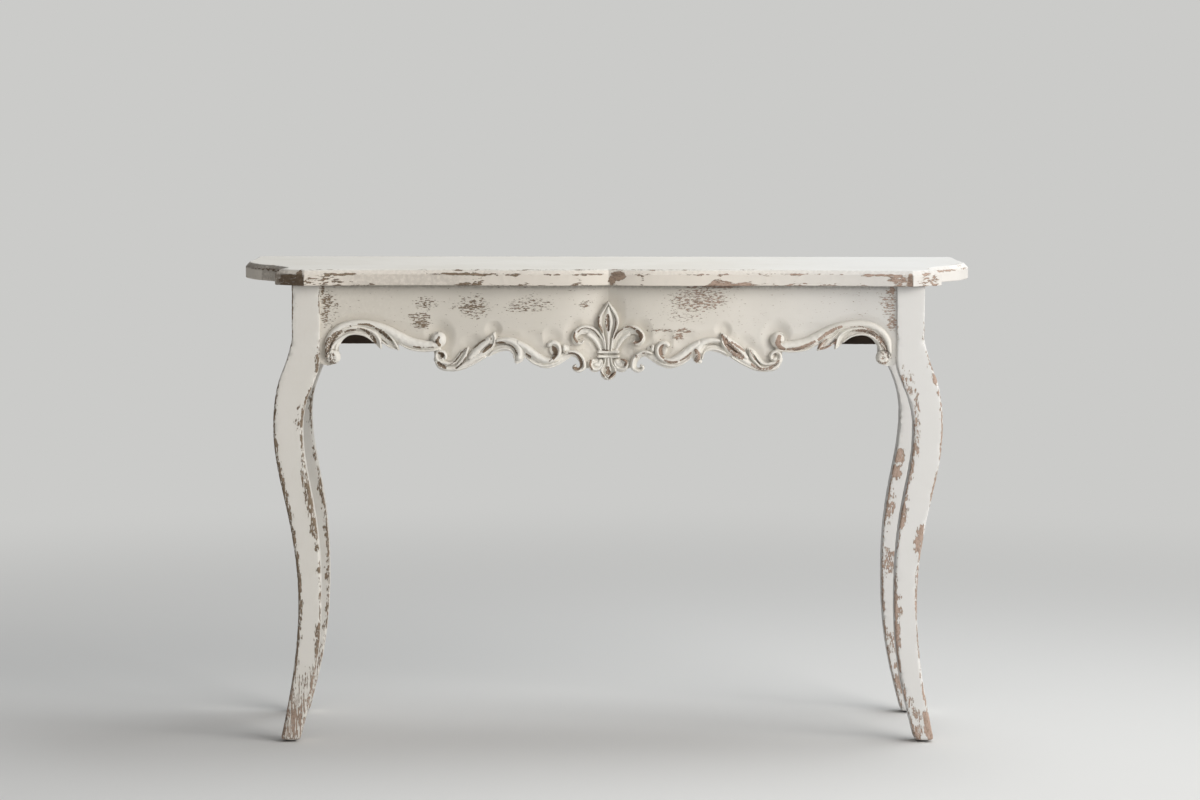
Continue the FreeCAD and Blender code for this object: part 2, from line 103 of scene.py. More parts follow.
# ---- curves and noise ----
def spline(points, step):
    """Dense points on a natural cubic spline through points, step apart."""
    p = np.array(points, float)
    chord = np.hypot(*np.diff(p, axis=0).T)
    t = np.concatenate([[0], np.cumsum(chord)])
    n = len(p)
    at = np.linspace(0, t[-1], max(int(round(t[-1] / step)), 2) + 1)
    if n == 2:
        return p[0] + (p[1] - p[0]) * (at / t[-1])[:, None]
    system, right = np.eye(n), np.zeros((n, 2))
    for i in range(1, n - 1):
        system[i, i - 1:i + 2] = chord[i - 1], 2 * (chord[i - 1] + chord[i]), chord[i]
        right[i] = 6 * ((p[i + 1] - p[i]) / chord[i] - (p[i] - p[i - 1]) / chord[i - 1])
    second = np.linalg.solve(system, right)
    k = np.clip(np.searchsorted(t, at, side="right") - 1, 0, n - 2)
    h, a, b = (column[:, None] for column in (chord[k], t[k + 1] - at, at - t[k]))
    linear = (p[k] / h - second[k] * h / 6) * a + (p[k + 1] / h - second[k + 1] * h / 6) * b
    return second[k] * a ** 3 / (6 * h) + second[k + 1] * b ** 3 / (6 * h) + linear


def resample(line, count):
    """count points evenly along a polyline, its ends kept."""
    length = np.concatenate([[0], np.cumsum(np.hypot(*np.diff(line, axis=0).T))])
    at = np.linspace(0, length[-1], count)
    return np.stack([np.interp(at, length, line[:, k]) for k in (0, 1)], 1)


front_line = spline(SERPENTINE, 1.0) * MM


def serpentine_y(x):
    """Y of the top's front edge at x."""
    return FRONT_Y + np.interp(np.abs(x), front_line[:, 0], front_line[:, 1])


def smooth_noise(points, size, seed, octaves=2):
    """Smooth random values of about -1 to 1 at 3-D points, for waves about size across."""
    values = np.zeros(len(points))
    source = np.random.default_rng(seed)
    for octave in range(octaves):
        for _ in range(6):
            direction = source.normal(size=3)
            direction *= 2 ** octave / (size * np.linalg.norm(direction))
            values += 0.5 ** octave * np.sin(points @ direction * 2 * math.pi + source.uniform(0, 6.28)) / 2.4
    return values


def step_up(low, high, value):
    """0 up to low, 1 from high on, and smooth between them."""
    t = np.clip((value - low) / (high - low), 0, 1)
    return t * t * (3 - 2 * t)


def near(points, patches, core, ragged=0.0):
    """Strength of the strongest patch at each point.

    A patch is its centre, its half sizes and its strength in one row, full within core of its
    size. ragged roughens its border.
    """
    value = np.zeros(points.shape[:-1])
    for *place, strength in patches:
        centre, half = np.reshape(place, (2, -1))
        far = np.sqrt((((points - centre) / half) ** 2).sum(-1)) + ragged
        value = np.maximum(value, strength * (1 - step_up(core, 1.15, far)))
    return value


# ---- meshes ----
def add_object(name, data):
    """A new object of the scene."""
    item = bpy.data.objects.new(name, data)
    bpy.context.scene.collection.objects.link(item)
    return item


def make_piece(name, verts, faces, material, nodes, wear, painted_shade_and_glaze=None, smooth=True, bare=()):
    """A mesh that rides on the root body and stands for its CAD nodes.

    wear is how far the paint is rubbed at each vertex, and the other vertex value how far painted shade and
    dark glaze darken it there. bare lists the faces that were never painted, on the inside of the frame.
    """
    mesh = bpy.data.meshes.new(name)
    mesh.from_pydata([tuple(v) for v in verts], [], [tuple(int(i) for i in f) for f in faces])
    mesh.validate()
    for key, values in (("wear", wear), ("painted_shade_and_glaze", painted_shade_and_glaze)):
        attribute = mesh.attributes.new(key, "FLOAT", "POINT")
        if values is not None:
            attribute.data.foreach_set("value", np.asarray(values, np.float32))
    if smooth:
        mesh.shade_smooth()
    else:
        mesh.shade_flat()
    mesh.materials.append(material)
    if bare:
        mesh.materials.append(dark_wood_and_shade)
    for index in bare:
        mesh.polygons[index].material_index = 1
    piece = add_object(name, mesh)
    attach(piece, "root")
    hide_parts(*nodes)


def ring_faces(rings, size):
    """Quads between rings of size points each, and last a cap on the first and the last ring."""
    faces = []
    for r in range(rings - 1):
        for i in range(size):
            j = (i + 1) % size
            faces.append((r * size + i, r * size + j, (r + 1) * size + j, (r + 1) * size + i))
    faces.append(tuple(range(size))[::-1])
    faces.append(tuple(range((rings - 1) * size, rings * size)))
    return faces


def sheet_faces(number, keep, flip):
    """Faces of a body between a front and a back sheet, closed round its rim.

    number is the grid of the front's vertices, which the back's follow, and keep says which
    cells of the grid are filled. flip turns all the faces over.
    """
    count = number.max() + 1
    faces, rim = [], {}
    for i, j in np.argwhere(keep):
        quad = (number[i, j + 1], number[i + 1, j + 1], number[i + 1, j], number[i, j])
        if flip:
            quad = quad[::-1]
        faces.append(quad)
        faces.append(tuple(corner + count for corner in quad[::-1]))
        for a, b in zip(quad, quad[1:] + quad[:1]):
            if (b, a) in rim:
                del rim[(b, a)]
            else:
                rim[(a, b)] = True
    faces += [(b, a, a + count, b + count) for a, b in rim]
    return faces


# ---- materials ----
def srgb(*levels):
    """Linear colour of 8-bit sRGB levels."""
    shares = [level / 255 for level in levels]
    return tuple(c / 12.92 if c <= 0.04045 else ((c + 0.055) / 1.055) ** 2.4 for c in shares)


PAINT = srgb(226, 222, 215)
PAINT_WARM = srgb(226, 220, 210)
# The top's front and sides get a warmer paint, a painted tint of the light on them.
PAINT_EDGE_WARM_LIGHT = srgb(224, 216, 205)
PAINT_COOL = srgb(219, 219, 219)
# The carvings' paint is whiter, partly a lighter coat and partly painted light, as they stand proud of the
# shaded ground.
PAINT_CARVED_WITH_LIGHT = srgb(233, 229, 221)
PAINT_AGED = srgb(212, 206, 195)
PAINT_THIN = srgb(196, 184, 170)
WOOD_ROSE = srgb(186, 163, 149)
WOOD_RIM = srgb(138, 118, 104)
WOOD_MID = srgb(158, 137, 119)
WOOD_GREY = srgb(134, 119, 101)
WOOD_DARK = srgb(92, 77, 63)
FLOOR = srgb(222, 221, 219)
BACKGROUND = srgb(203, 203, 201)
SKY = (0.995, 0.997, 1.0)
# Amounts of wear at which the paint starts to thin out, breaks and is gone, and between which
# the dark rim of a chip passes into the wood's own colour.
THIN_FROM, CHIP_FROM, CHIP_FULL = 0.3, 0.375, 0.405
RIM_FROM, RIM_TO = 0.4, 0.48


class Nodes:
    """Short names for building the node tree of a material or a world."""

    def __init__(self, owner, coordinates="Object"):
        owner.use_nodes = True
        self.tree = owner.node_tree
        self.shader = self.tree.nodes.get("Principled BSDF")
        self.place = self.add("ShaderNodeTexCoord").outputs[coordinates]

    def join(self, socket, value):
        if isinstance(value, bpy.types.NodeSocket):
            self.tree.links.new(value, socket)
        else:
            socket.default_value = (*value, 1) if socket.type == "RGBA" else value

    def fill(self, node, inputs):
        for key, value in inputs.items():
            self.join(node.inputs[key], value)

    def add(self, kind, inputs=None, **settings):
        node = self.tree.nodes.new(kind)
        for key, value in settings.items():
            setattr(node, key, value)
        self.fill(node, inputs or {})
        return node

    def along(self, axis):
        """The place along "X", "Y" or "Z"."""
        return self.add("ShaderNodeSeparateXYZ", {0: self.place}).outputs[axis]

    def attribute(self, name):
        return self.add("ShaderNodeAttribute", attribute_name=name).outputs["Fac"]

    def math(self, operation, a, b, clamp=False):
        return self.add("ShaderNodeMath", {0: a, 1: b}, operation=operation, use_clamp=clamp).outputs[0]

    def noise(self, scale, detail, rough, stretch=(1, 1, 1), warp=0.0):
        place = self.add("ShaderNodeMapping", {"Vector": self.place, "Scale": stretch}).outputs[0]
        inputs = {"Vector": place, "Scale": scale, "Detail": detail, "Roughness": rough, "Distortion": warp}
        return self.add("ShaderNodeTexNoise", inputs).outputs["Fac"]

    def ramp(self, value, low, high, out_low=0.0, out_high=1.0, kind="SMOOTHSTEP"):
        inputs = {"Value": value, "From Min": low, "From Max": high, "To Min": out_low, "To Max": out_high}
        return self.add("ShaderNodeMapRange", inputs, interpolation_type=kind, clamp=True).outputs[0]

    def mix(self, share, a, b):
        inputs = {"Factor": share, "A": a, "B": b}
        return self.add("ShaderNodeMix", inputs, data_type="RGBA").outputs["Result"]

    def bump(self, height, strength, distance, below=None):
        node = self.add("ShaderNodeBump", {"Height": height, "Strength": strength, "Distance": distance})
        if below is not None:
            self.join(node.inputs["Normal"], below)
        return node.outputs["Normal"]

    def surface(self, output, share, lit, plain):
        """End the tree in the shader lit, and in plain for the share of it."""
        shares = {0: share, 1: lit.outputs[0], 2: plain.outputs[0]}
        self.fill(self.tree.nodes[output], {"Surface": self.add("ShaderNodeMixShader", shares).outputs[0]})


def wear_amount(n, grain, flake, fleck, scratch):
    """How far the paint is gone: the vertex value wear, broken up by chips and scratches."""
    layers = [(n.noise(flake[0], 6, 0.68, grain, 0.3), flake[1])]
    layers.append((n.noise(fleck[0], 3, 0.55, grain, 0.2), fleck[1]))
    layers.append((n.noise(16, 3, 0.5), 0.2))
    if scratch:
        weight = n.ramp(n.along("Z"), 0.06, 0.2, scratch, 0.3 * scratch)
        weight = n.math("MULTIPLY", weight, n.ramp(n.along("X"), -0.3, 0.3, 1, 0.35))
        layers.append((n.noise(600, 2, 0.5, (1, 1, 0.045)), weight))
    amount = n.math("MULTIPLY", n.attribute("wear"), 0.62)
    for noise, weight in layers:
        amount = n.math("ADD", amount, n.math("MULTIPLY", n.math("SUBTRACT", noise, 0.5), weight))
    return amount


def paint_color(n, tone, grain, lighter, painted_shade_left, cool_right, edge_light_tone):
    """Colour of the whole paint, aged in clouds and in fine grain, with painted light on the top's front and
    sides and painted shade on the left half where asked.
    """
    paint = n.mix(n.ramp(n.noise(7, 4, 0.6), 0.35, 0.7, 0, 1 - lighter), tone, PAINT_AGED)
    paint = n.mix(n.ramp(n.noise(120, 5, 0.7, grain), 0.5, 0.8, 0, 0.3), paint, PAINT_AGED)
    # Painted light: a warmer tone on the top's front and sides.
    if edge_light_tone:
        paint = n.mix(n.ramp(n.along("Z"), TOP_Z - 0.003, TOP_Z - 0.0003, 1, 0), paint, edge_light_tone)
    # Painted shade: the left half turned towards the aged tone.
    if painted_shade_left:
        paint = n.mix(n.ramp(n.along("X"), -0.45, 0.15, painted_shade_left, 0), paint, PAINT_AGED)
    if cool_right:
        paint = n.mix(n.ramp(n.along("X"), 0.1, 0.5, 0, cool_right), paint, PAINT_COOL)
    return paint


def wood_color(n, amount, grain):
    """Colour of the wood in the chips, rosier to the right and near the floor."""
    rosy = n.math("MAXIMUM", n.ramp(n.along("Z"), 0.02, 0.2, 0.7, 0), n.ramp(n.along("X"), -0.25, 0.35))
    tone = n.mix(rosy, WOOD_GREY, WOOD_ROSE)
    wood = n.mix(n.ramp(n.noise(260, 5, 0.7, grain), 0.3, 0.55), WOOD_MID, tone)
    wood = n.mix(n.ramp(n.noise(480, 3, 0.6, grain), 0.5, 0.68, 0, 0.5), wood, WOOD_DARK)
    rim = n.mix(n.ramp(n.along("X"), -0.1, 0.4), WOOD_DARK, WOOD_RIM)
    return n.mix(n.ramp(amount, RIM_FROM, RIM_TO), rim, wood)


def paint_material(name, tone, grain, flake, fleck, lighter, painted_shade_left=0.0, cool_right=0.0, scratch=0.0,
                   edge_light_tone=None):
    """Chalk paint that the vertex values wear and glaze rub away and darken.

    grain stretches the chips: a larger number along an axis makes them shorter along it. flake
    and fleck are the scale and the weight of the larger and the smaller chips, lighter is how
    little the paint has aged, the value for the left half how much painted shade darkens it, and
    cool_right how much cooler the paint is on the right half. scratch is the weight of upright
    scratches near the floor, and the edge tone the warmer paint of the top's front and sides, a
    painted tint of the light on them.
    """
    material = bpy.data.materials.new(name)
    n = Nodes(material)
    amount = wear_amount(n, grain, flake, fleck, scratch)
    chip = n.ramp(amount, CHIP_FROM, CHIP_FULL)
    thin = n.math("MULTIPLY", n.ramp(amount, THIN_FROM, CHIP_FROM), 0.5)
    cloud = n.ramp(n.noise(190, 4, 0.6), 0.3, 0.6, 0.6, 1.0)
    shade_and_glaze = n.math("MULTIPLY", n.attribute("painted_shade_and_glaze"), cloud, clamp=True)
    color = n.mix(thin, paint_color(n, tone, grain, lighter, painted_shade_left, cool_right, edge_light_tone), PAINT_THIN)
    color = n.mix(chip, color, wood_color(n, amount, grain))
    # Painted shade and dark glaze: the paint darkened towards dark wood by the second vertex value.
    color = n.mix(n.ramp(shade_and_glaze, 0.1, 0.9, 0, 0.8), color, WOOD_DARK)
    strokes = n.bump(n.noise(220, 4, 0.6, grain), 0.12, 0.0006)
    relief = n.bump(n.math("SUBTRACT", 1.0, chip), 0.75, 0.0009, strokes)
    rough = n.ramp(chip, 0, 1, 0.7, 0.88)
    n.fill(n.shader, {"Base Color": color, "Roughness": rough, "Specular IOR Level": 0.2, "Normal": relief})
    return material


def plain_material(name, color, roughness, metallic=0.0, mottle=None, stretch=(1, 1, 1)):
    """One colour, mottled with a second or a darker one, on a lightly uneven surface."""
    material = bpy.data.materials.new(name)
    n = Nodes(material)
    other = mottle or tuple(c * 0.8 for c in color)
    mixed = n.mix(n.ramp(n.noise(40, 5, 0.65, stretch), 0.35, 0.7), color, other)
    uneven = n.bump(n.noise(160, 4, 0.6, stretch), 0.2, 0.0004)
    n.fill(n.shader, {"Base Color": mixed, "Roughness": roughness, "Metallic": metallic, "Normal": uneven})
    return material


top_paint = paint_material("top_paint", PAINT, grain=(0.3, 0.7, 1.1), flake=(80, 0.8), fleck=(300, 1.1),
                           lighter=0.6, cool_right=0.5, edge_light_tone=PAINT_EDGE_WARM_LIGHT)
# Painted shade darkens the apron's left half.
apron_paint = paint_material("apron_paint", PAINT_WARM, grain=(0.36, 1, 1.3), flake=(60, 0.12),
                             fleck=(430, 1.9), lighter=0.3, painted_shade_left=0.75, cool_right=0.6)
leg_paint = paint_material("leg_paint", PAINT, grain=(1, 1, 0.34), flake=(95, 0.34), fleck=(420, 1.0),
                           lighter=0.7, cool_right=0.6, scratch=1.8)
# Whiter and less aged than the apron: in part painted light on the proud carvings.
carving_paint_with_light = paint_material("carving_paint_with_light", PAINT_CARVED_WITH_LIGHT, grain=(1, 1, 1), flake=(120, 0.6),
                               fleck=(420, 0.95), lighter=0.8)
GRAIN = (0.3, 1, 1)
raw_wood = plain_material("raw_wood", srgb(176, 146, 114), 0.75, mottle=srgb(146, 115, 84), stretch=GRAIN)
# Unpainted wood inside the frame, made dark also as painted shade for the shadow inside the table.
dark_wood_and_shade = plain_material("dark_wood_and_shade", srgb(74, 58, 45), 0.8, mottle=srgb(52, 40, 31), stretch=GRAIN)
steel = plain_material("steel", (0.5, 0.5, 0.51), 0.38, metallic=1.0)
nylon = plain_material("glide_nylon", srgb(118, 116, 113), 0.6)


def dress_cad_nodes():
    """Give every CAD node the material of its slot."""
    finishes = {"distressed_paint": apron_paint, "bare_wood": raw_wood, "steel": steel, "glide_nylon": nylon}
    slots = {part["node"]: part["material_slot"] for part in frame["record"]["subparts"]}
    for name, node in frame["nodes"].items():
        node.data.materials.clear()
        node.data.materials.append(finishes[slots[name]])


# ---- top ----
def top_runs():
    """The plan outline as smooth runs, anticlockwise from the middle of the front."""
    side = [(HALF_WIDTH / MM - inset, depth) for inset, depth in SIDE_CURVE]
    side += [(HALF_WIDTH / MM - inset, (BACK_Y - FRONT_Y) / MM - ahead) for inset, ahead in SIDE_BACK_CURVE]
    ear = [SERPENTINE[-1], side[0]]
    right = [spline(curve, 2.0) * MM + (0, FRONT_Y) for curve in (SERPENTINE, ear, side)]
    end = right[-1][-1]
    back = np.stack([np.linspace(end[0], -end[0], 300), np.full(300, end[1])], 1)
    left = [run[::-1] * (-1, 1) for run in right[::-1]]
    return right + [back] + left


def crossing(a, b, window=30):
    """Where the end of line a first meets the start of line b: segment of a, segment of b, point."""
    starts, steps = b[:window], np.diff(b[:window + 1], axis=0)
    for j in range(max(len(a) - 1 - window, 0), len(a) - 1):
        step, gap = a[j + 1] - a[j], starts - a[j]
        cross = step[0] * steps[:, 1] - step[1] * steps[:, 0]
        cross = np.where(np.abs(cross) < 1e-18, 1e-18, cross)
        on_a = (gap[:, 0] * steps[:, 1] - gap[:, 1] * steps[:, 0]) / cross
        on_b = (gap[:, 0] * step[1] - gap[:, 1] * step[0]) / cross
        hits = np.nonzero((np.abs(on_a - 0.5) <= 0.5 + 1e-9) & (np.abs(on_b - 0.5) <= 0.5 + 1e-9))[0]
        if len(hits):
            return j, hits[0], a[j] + step * on_a[hits[0]]
    return len(a) - 2, 1, (a[-2] + b[1]) / 2


def inset_runs(runs, distance):
    """The runs moved inwards, cut where they meet and divided into as many points as before."""
    moved = []
    for run in runs:
        along = np.gradient(run, axis=0)
        along /= np.hypot(*along.T)[:, None]
        line = run + np.stack([-along[:, 1], along[:, 0]], 1) * distance
        reach = 4 * max(distance, 1e-5)
        moved.append(np.vstack([line[0] - along[0] * reach, line, line[-1] + along[-1] * reach]))
    corners = [crossing(line, moved[(i + 1) % len(moved)]) for i, line in enumerate(moved)]
    points = []
    for i, run in enumerate(runs):
        (_, first, start), (last, _, end) = corners[i - 1], corners[i]
        line = np.vstack([start, moved[i][first + 1:last + 1], end])
        points.append(resample(line, len(run))[:-1])
    return np.vstack(points)


# Rubbed places of the top: (x, y, z, half sizes along x, y and z, strength), millimetres.
TOP_PATCHES = [
    (-514, -184, 777, 9, 14, 26, 1.3), (-532, -176, 778, 30, 20, 14, 0.95),
    (532, -176, 778, 32, 20, 20, 0.58), (-552, -120, 790, 20, 60, 2.4, 0.75),
    (-600, -60, 789, 30, 60, 3, 0.6), (-446, -182, 789.5, 40, 18, 2.4, 0.95),
    (-248, -178, 789.7, 76, 18, 2.2, 0.84), (-232, -178, 788, 30, 18, 3.4, 0.72),
    (-190, -178, 788.8, 36, 18, 3.2, 0.8), (-216, -178, 781, 14, 16, 5, 0.42),
    (-236, -178, 773.5, 38, 14, 7, 0.76), (-156, -178, 788, 8, 18, 4, 0.7),
    (-92, -175, 789.5, 26, 18, 2.2, 0.66), (-32, -170, 789, 38, 18, 3, 0.8),
    (-50, -172, 777.5, 14, 18, 4, 0.6), (-138, -176, 773, 4, 18, 4, 0.7), (16, -166, 787, 17, 18, 9, 1.1),
    (6, -164, 779, 8, 14, 12, 0.8), (52, -174, 789.5, 22, 18, 3, 0.75), (56, -174, 783, 4, 18, 9, 0.6),
    (206, -178, 772, 52, 16, 5, 1.05), (186, -178, 779, 18, 16, 6, 0.75),
    (190, -176, 790, 12, 16, 2.2, 0.75), (265, -173, 790, 10, 18, 2, 0.62),
    (312, -171, 790, 24, 18, 2, 0.85), (382, -174, 790, 18, 18, 1.8, 0.6),
    (455, -182, 789, 54, 16, 3, 0.92), (484, -184, 779, 26, 16, 12, 0.58),
    (575, -100, 789.5, 50, 70, 3, 0.95), (-482, -186, 780, 34, 12, 14, 0.62),
    (0, -165, 797, 380, 20, 1.6, 0.5), (600, -20, 796, 30, 90, 3, 0.42),
    (575, -120, 796.5, 40, 60, 2, 0.4), (-470, -186, 797, 60, 20, 1.6, 0.55),
    (502, -189, 780, 4.6, 6, 18, 1.2), (482, -186, 776, 16, 10, 8, 0.66),
    (-452, -184, 782, 16, 12, 10, 0.56),
]
# Painted shade beside the point in the middle of the front edge, where the face turns from the light, given
# in the same way.
TOP_PAINTED_SHADE = [(15, -166, 790, 15, 16, 6, 0.6), (12, -164, 775, 20, 16, 4, 0.4)]
PATCH_CORE = 0.55
TOP_DENTS = 0.00025


def top_profile():
    """The rings of the top from the underside up over the bevel: (inset, height, wear)."""
    height = TOP_Z - UNDER_TOP
    under_bevel = height - TOP_BEVEL
    rings = [(0.006, 0.0, 0.1), (0.0012, 0.0, 0.38), (0.0, 0.0012, 0.34)]
    rings += [(0.0, 0.35 * height, 0.02), (0.0, 0.55 * height, 0.02)]
    rings += [(0.0, under_bevel - 0.0008, 0.34), (0.0006, under_bevel + 0.0005, 0.4)]
    for share, wear in ((0.35, 0.2), (0.65, 0.15), (0.9, 0.25)):
        rings.append((TOP_BEVEL * share, under_bevel + TOP_BEVEL * share, wear))
    for beyond, wear in ((0.0012, 0.3), (0.004, 0.12), (0.009, 0.0), (0.015, 0.0)):
        rings.append((TOP_BEVEL + beyond, height, wear))
    return rings


def top_wear(verts, edge_wear):
    """Rubbed edges, less by the wall, and the patches."""
    wear = edge_wear * (0.8 + 0.5 * smooth_noise(verts, 0.09, 3))
    at_wall = step_up(BACK_Y - 0.004, BACK_Y, verts[:, 1])
    return np.maximum(wear * (1 - 0.7 * at_wall), near(verts / MM, TOP_PATCHES, PATCH_CORE))


def top_painted_shade_and_glaze(verts):
    """Darker on the bevel, strongest at the left end where it is painted shade, painted shade on the faces
    below it that turn away from the light, and darker worn wood at the right-hand front corner.
    """
    x, y, z = verts.T
    bevel_z = TOP_Z - TOP_BEVEL
    in_front = y < -0.05
    edge = (z < bevel_z) * in_front
    bevel = step_up(bevel_z - 0.002, bevel_z, z) * (z < TOP_Z - 0.0005)
    left_ear = step_up(0.504, 0.508, -x) * (1 - step_up(-0.164, -0.155, y))
    left_lobe = step_up(0.53, 0.545, -x)
    turned_away = step_up(-0.49, -0.42, x) * (1 - step_up(-0.27, -0.17, x))
    right_corner = step_up(0.4955, 0.4985, x) * (x < 0.5066)
    layers = [bevel * np.maximum(0.7 * step_up(0.5, 0.56, -x), 0.3 * in_front)]
    for share, place in ((0.88, left_ear), (0.5, left_lobe), (0.36, turned_away), (0.6, right_corner)):
        layers.append(share * place * edge)
    return np.max(layers + [near(verts / MM, TOP_PAINTED_SHADE, PATCH_CORE)], axis=0)


def make_top_board():
    runs = top_runs()
    rings, edge_wear = [], []
    for inset, height, wear in top_profile():
        ring = inset_runs(runs, inset)
        rings.append(np.column_stack([ring, np.full(len(ring), UNDER_TOP + height)]))
        edge_wear.append(np.full(len(ring), wear))
    verts, size = np.vstack(rings), len(rings[0])
    faces = ring_faces(len(rings), size)
    wear, painted_shade_and_glaze = top_wear(verts, np.concatenate(edge_wear)), top_painted_shade_and_glaze(verts)
    wear[-size:] = 0
    dents = TOP_DENTS * np.abs(smooth_noise(verts, 0.035, 4))
    verts[:, 1] += dents * (verts[:, 1] < 0)
    underside = len(faces) - 2
    make_piece("top", verts, faces, top_paint, TOP_BOARDS, wear, painted_shade_and_glaze, smooth=False, bare=[underside])


# ---- legs ----
# Rubbed places of a leg: (height, place across its width from -1 inner to 1 outer, half height,
# half width, strength). Heights are millimetres, and widths count as the place does.
LEG_PATCHES = {
    "front_left": [
        (720, 1, 90, 0.1, 0.86), (560, 1, 60, 0.16, 0.84), (440, 0.96, 130, 0.46, 0.78),
        (250, 0.96, 170, 0.46, 0.78), (250, 1, 170, 0.2, 0.92), (130, 1, 70, 0.44, 0.74),
        (560, -1, 44, 0.24, 0.8), (650, -0.98, 30, 0.2, 0.68), (548, -0.5, 34, 0.18, 0.76),
        (400, -0.86, 110, 0.5, 0.7), (415, -0.84, 44, 0.26, 0.82), (298, -0.9, 18, 0.36, 0.8),
        (172, -0.84, 44, 0.4, 0.84), (200, -1, 110, 0.24, 0.72), (70, -0.1, 54, 1.8, 0.56),
        (14, 0, 52, 3.4, 0.68), (34, -0.25, 42, 0.62, 0.86), (24, 1, 50, 0.34, 1.15),
    ],
    "front_right": [
        (610, 0.95, 34, 0.28, 0.92), (520, 1, 80, 0.18, 0.78), (348, 0.66, 38, 0.42, 0.96),
        (200, 1, 110, 0.16, 0.74), (604, -0.66, 52, 0.5, 0.62), (548, -0.72, 18, 0.28, 0.76),
        (494, -0.92, 64, 0.42, 0.68), (388, -0.84, 40, 0.4, 0.88), (232, -0.7, 28, 0.5, 0.8),
        (180, -0.78, 36, 0.44, 0.76), (210, -0.98, 120, 0.3, 0.88), (24, 0.8, 40, 0.66, 1.05),
        (62, -0.5, 24, 0.5, 0.64), (16, -0.7, 26, 0.7, 0.8), (40, -0.1, 34, 0.3, 0.66),
    ],
    "back_left": [
        (300, -1, 220, 0.5, 0.74), (556, 0, 20, 1, 0.86), (512, 0, 20, 0.6, 0.66),
        (400, 0.6, 120, 0.4, 0.6), (70, 0, 80, 1.3, 0.56), (520, -1, 60, 0.2, 0.7),
    ],
    "back_right": [
        (440, -0.66, 42, 0.5, 0.94), (356, -0.6, 44, 0.5, 0.7), (300, 0.8, 40, 0.5, 0.62),
        (266, -0.4, 36, 0.9, 0.63), (180, -1, 130, 0.3, 0.74), (180, 1, 120, 0.3, 0.62),
        (130, -0.2, 30, 0.8, 0.62), (58, 0, 44, 1.2, 0.88),
    ],
}
# Rounded sole of a foot: (height, how far the section is drawn in), millimetres.
SOLE = [(0, 4), (0.6, 2.4), (1.6, 1.2), (3.2, 0.4), (5.5, 0)]
# Places of the points round an arris, as angles, and on the flat between two of them, as shares.
ARC = np.linspace(0, math.pi / 2, 7)
FLAT = np.linspace(0, 1, 8)[1:-1]
LEG_RINGS = 330
LEG_SEEDS = {"front": 20, "back": 40}
CHIP_DEPTH = 0.0012


def leg_widths(z):
    """X of a right-hand leg's inner and outer faces at heights z."""
    curve_height = UNDER_TOP - POST_LENGTH - FOOT_Z
    faces = []
    for face, curve in ((POST_INNER, INNER_CURVE), (POST_OUTER, OUTER_CURVE)):
        line = spline([(shift, share * curve_height / MM) for share, shift in curve], 1.0)[::-1] * MM
        faces.append(face + np.interp(z - FOOT_Z, line[:, 1], line[:, 0]))
    return faces


def leg_section(x0, x1, y0, y1, radius):
    """Points round a leg's section with rounded arrises."""
    bends = []
    for x, y, right, back in ((x1, y0, 1, -1), (x1, y1, 1, 1), (x0, y1, -1, 1), (x0, y0, -1, -1)):
        turn = ARC if right != back else ARC[::-1]
        offset = np.column_stack([right * (np.sin(turn) - 1), back * (np.cos(turn) - 1)])
        bends.append((x, y) + radius * offset)
    points = []
    for k, bend in enumerate(bends):
        ahead = bends[(k + 1) % 4][0] - bend[-1]
        points += [bend, bend[-1] + FLAT[:, None] * ahead]
    return np.vstack(points)


def leg_wear(patches, verts, arris, place, front_y, foot, seed):
    """Rubbed arrises, and the patches on the front face and round the foot."""
    z = verts[:, 2]
    along = smooth_noise(verts * (0.3, 0.3, 1), 0.07, seed + 5)
    low_down, post = 1 - step_up(0.2, 0.6, z), step_up(0.655, 0.7, z)
    wear = arris * (0.5 + 0.14 * low_down - 0.16 * post + 0.2 * along)
    ragged = smooth_noise(verts, 0.022, seed + 13)
    from_front = 1 - step_up(3 * MM, 15 * MM, verts[:, 1] - front_y + 5 * MM * ragged)
    rubbed = near(np.column_stack([z / MM, place]), patches, 0.45, 0.16 * ragged)
    return np.maximum(wear, rubbed * np.maximum(from_front, 0.8 * foot))


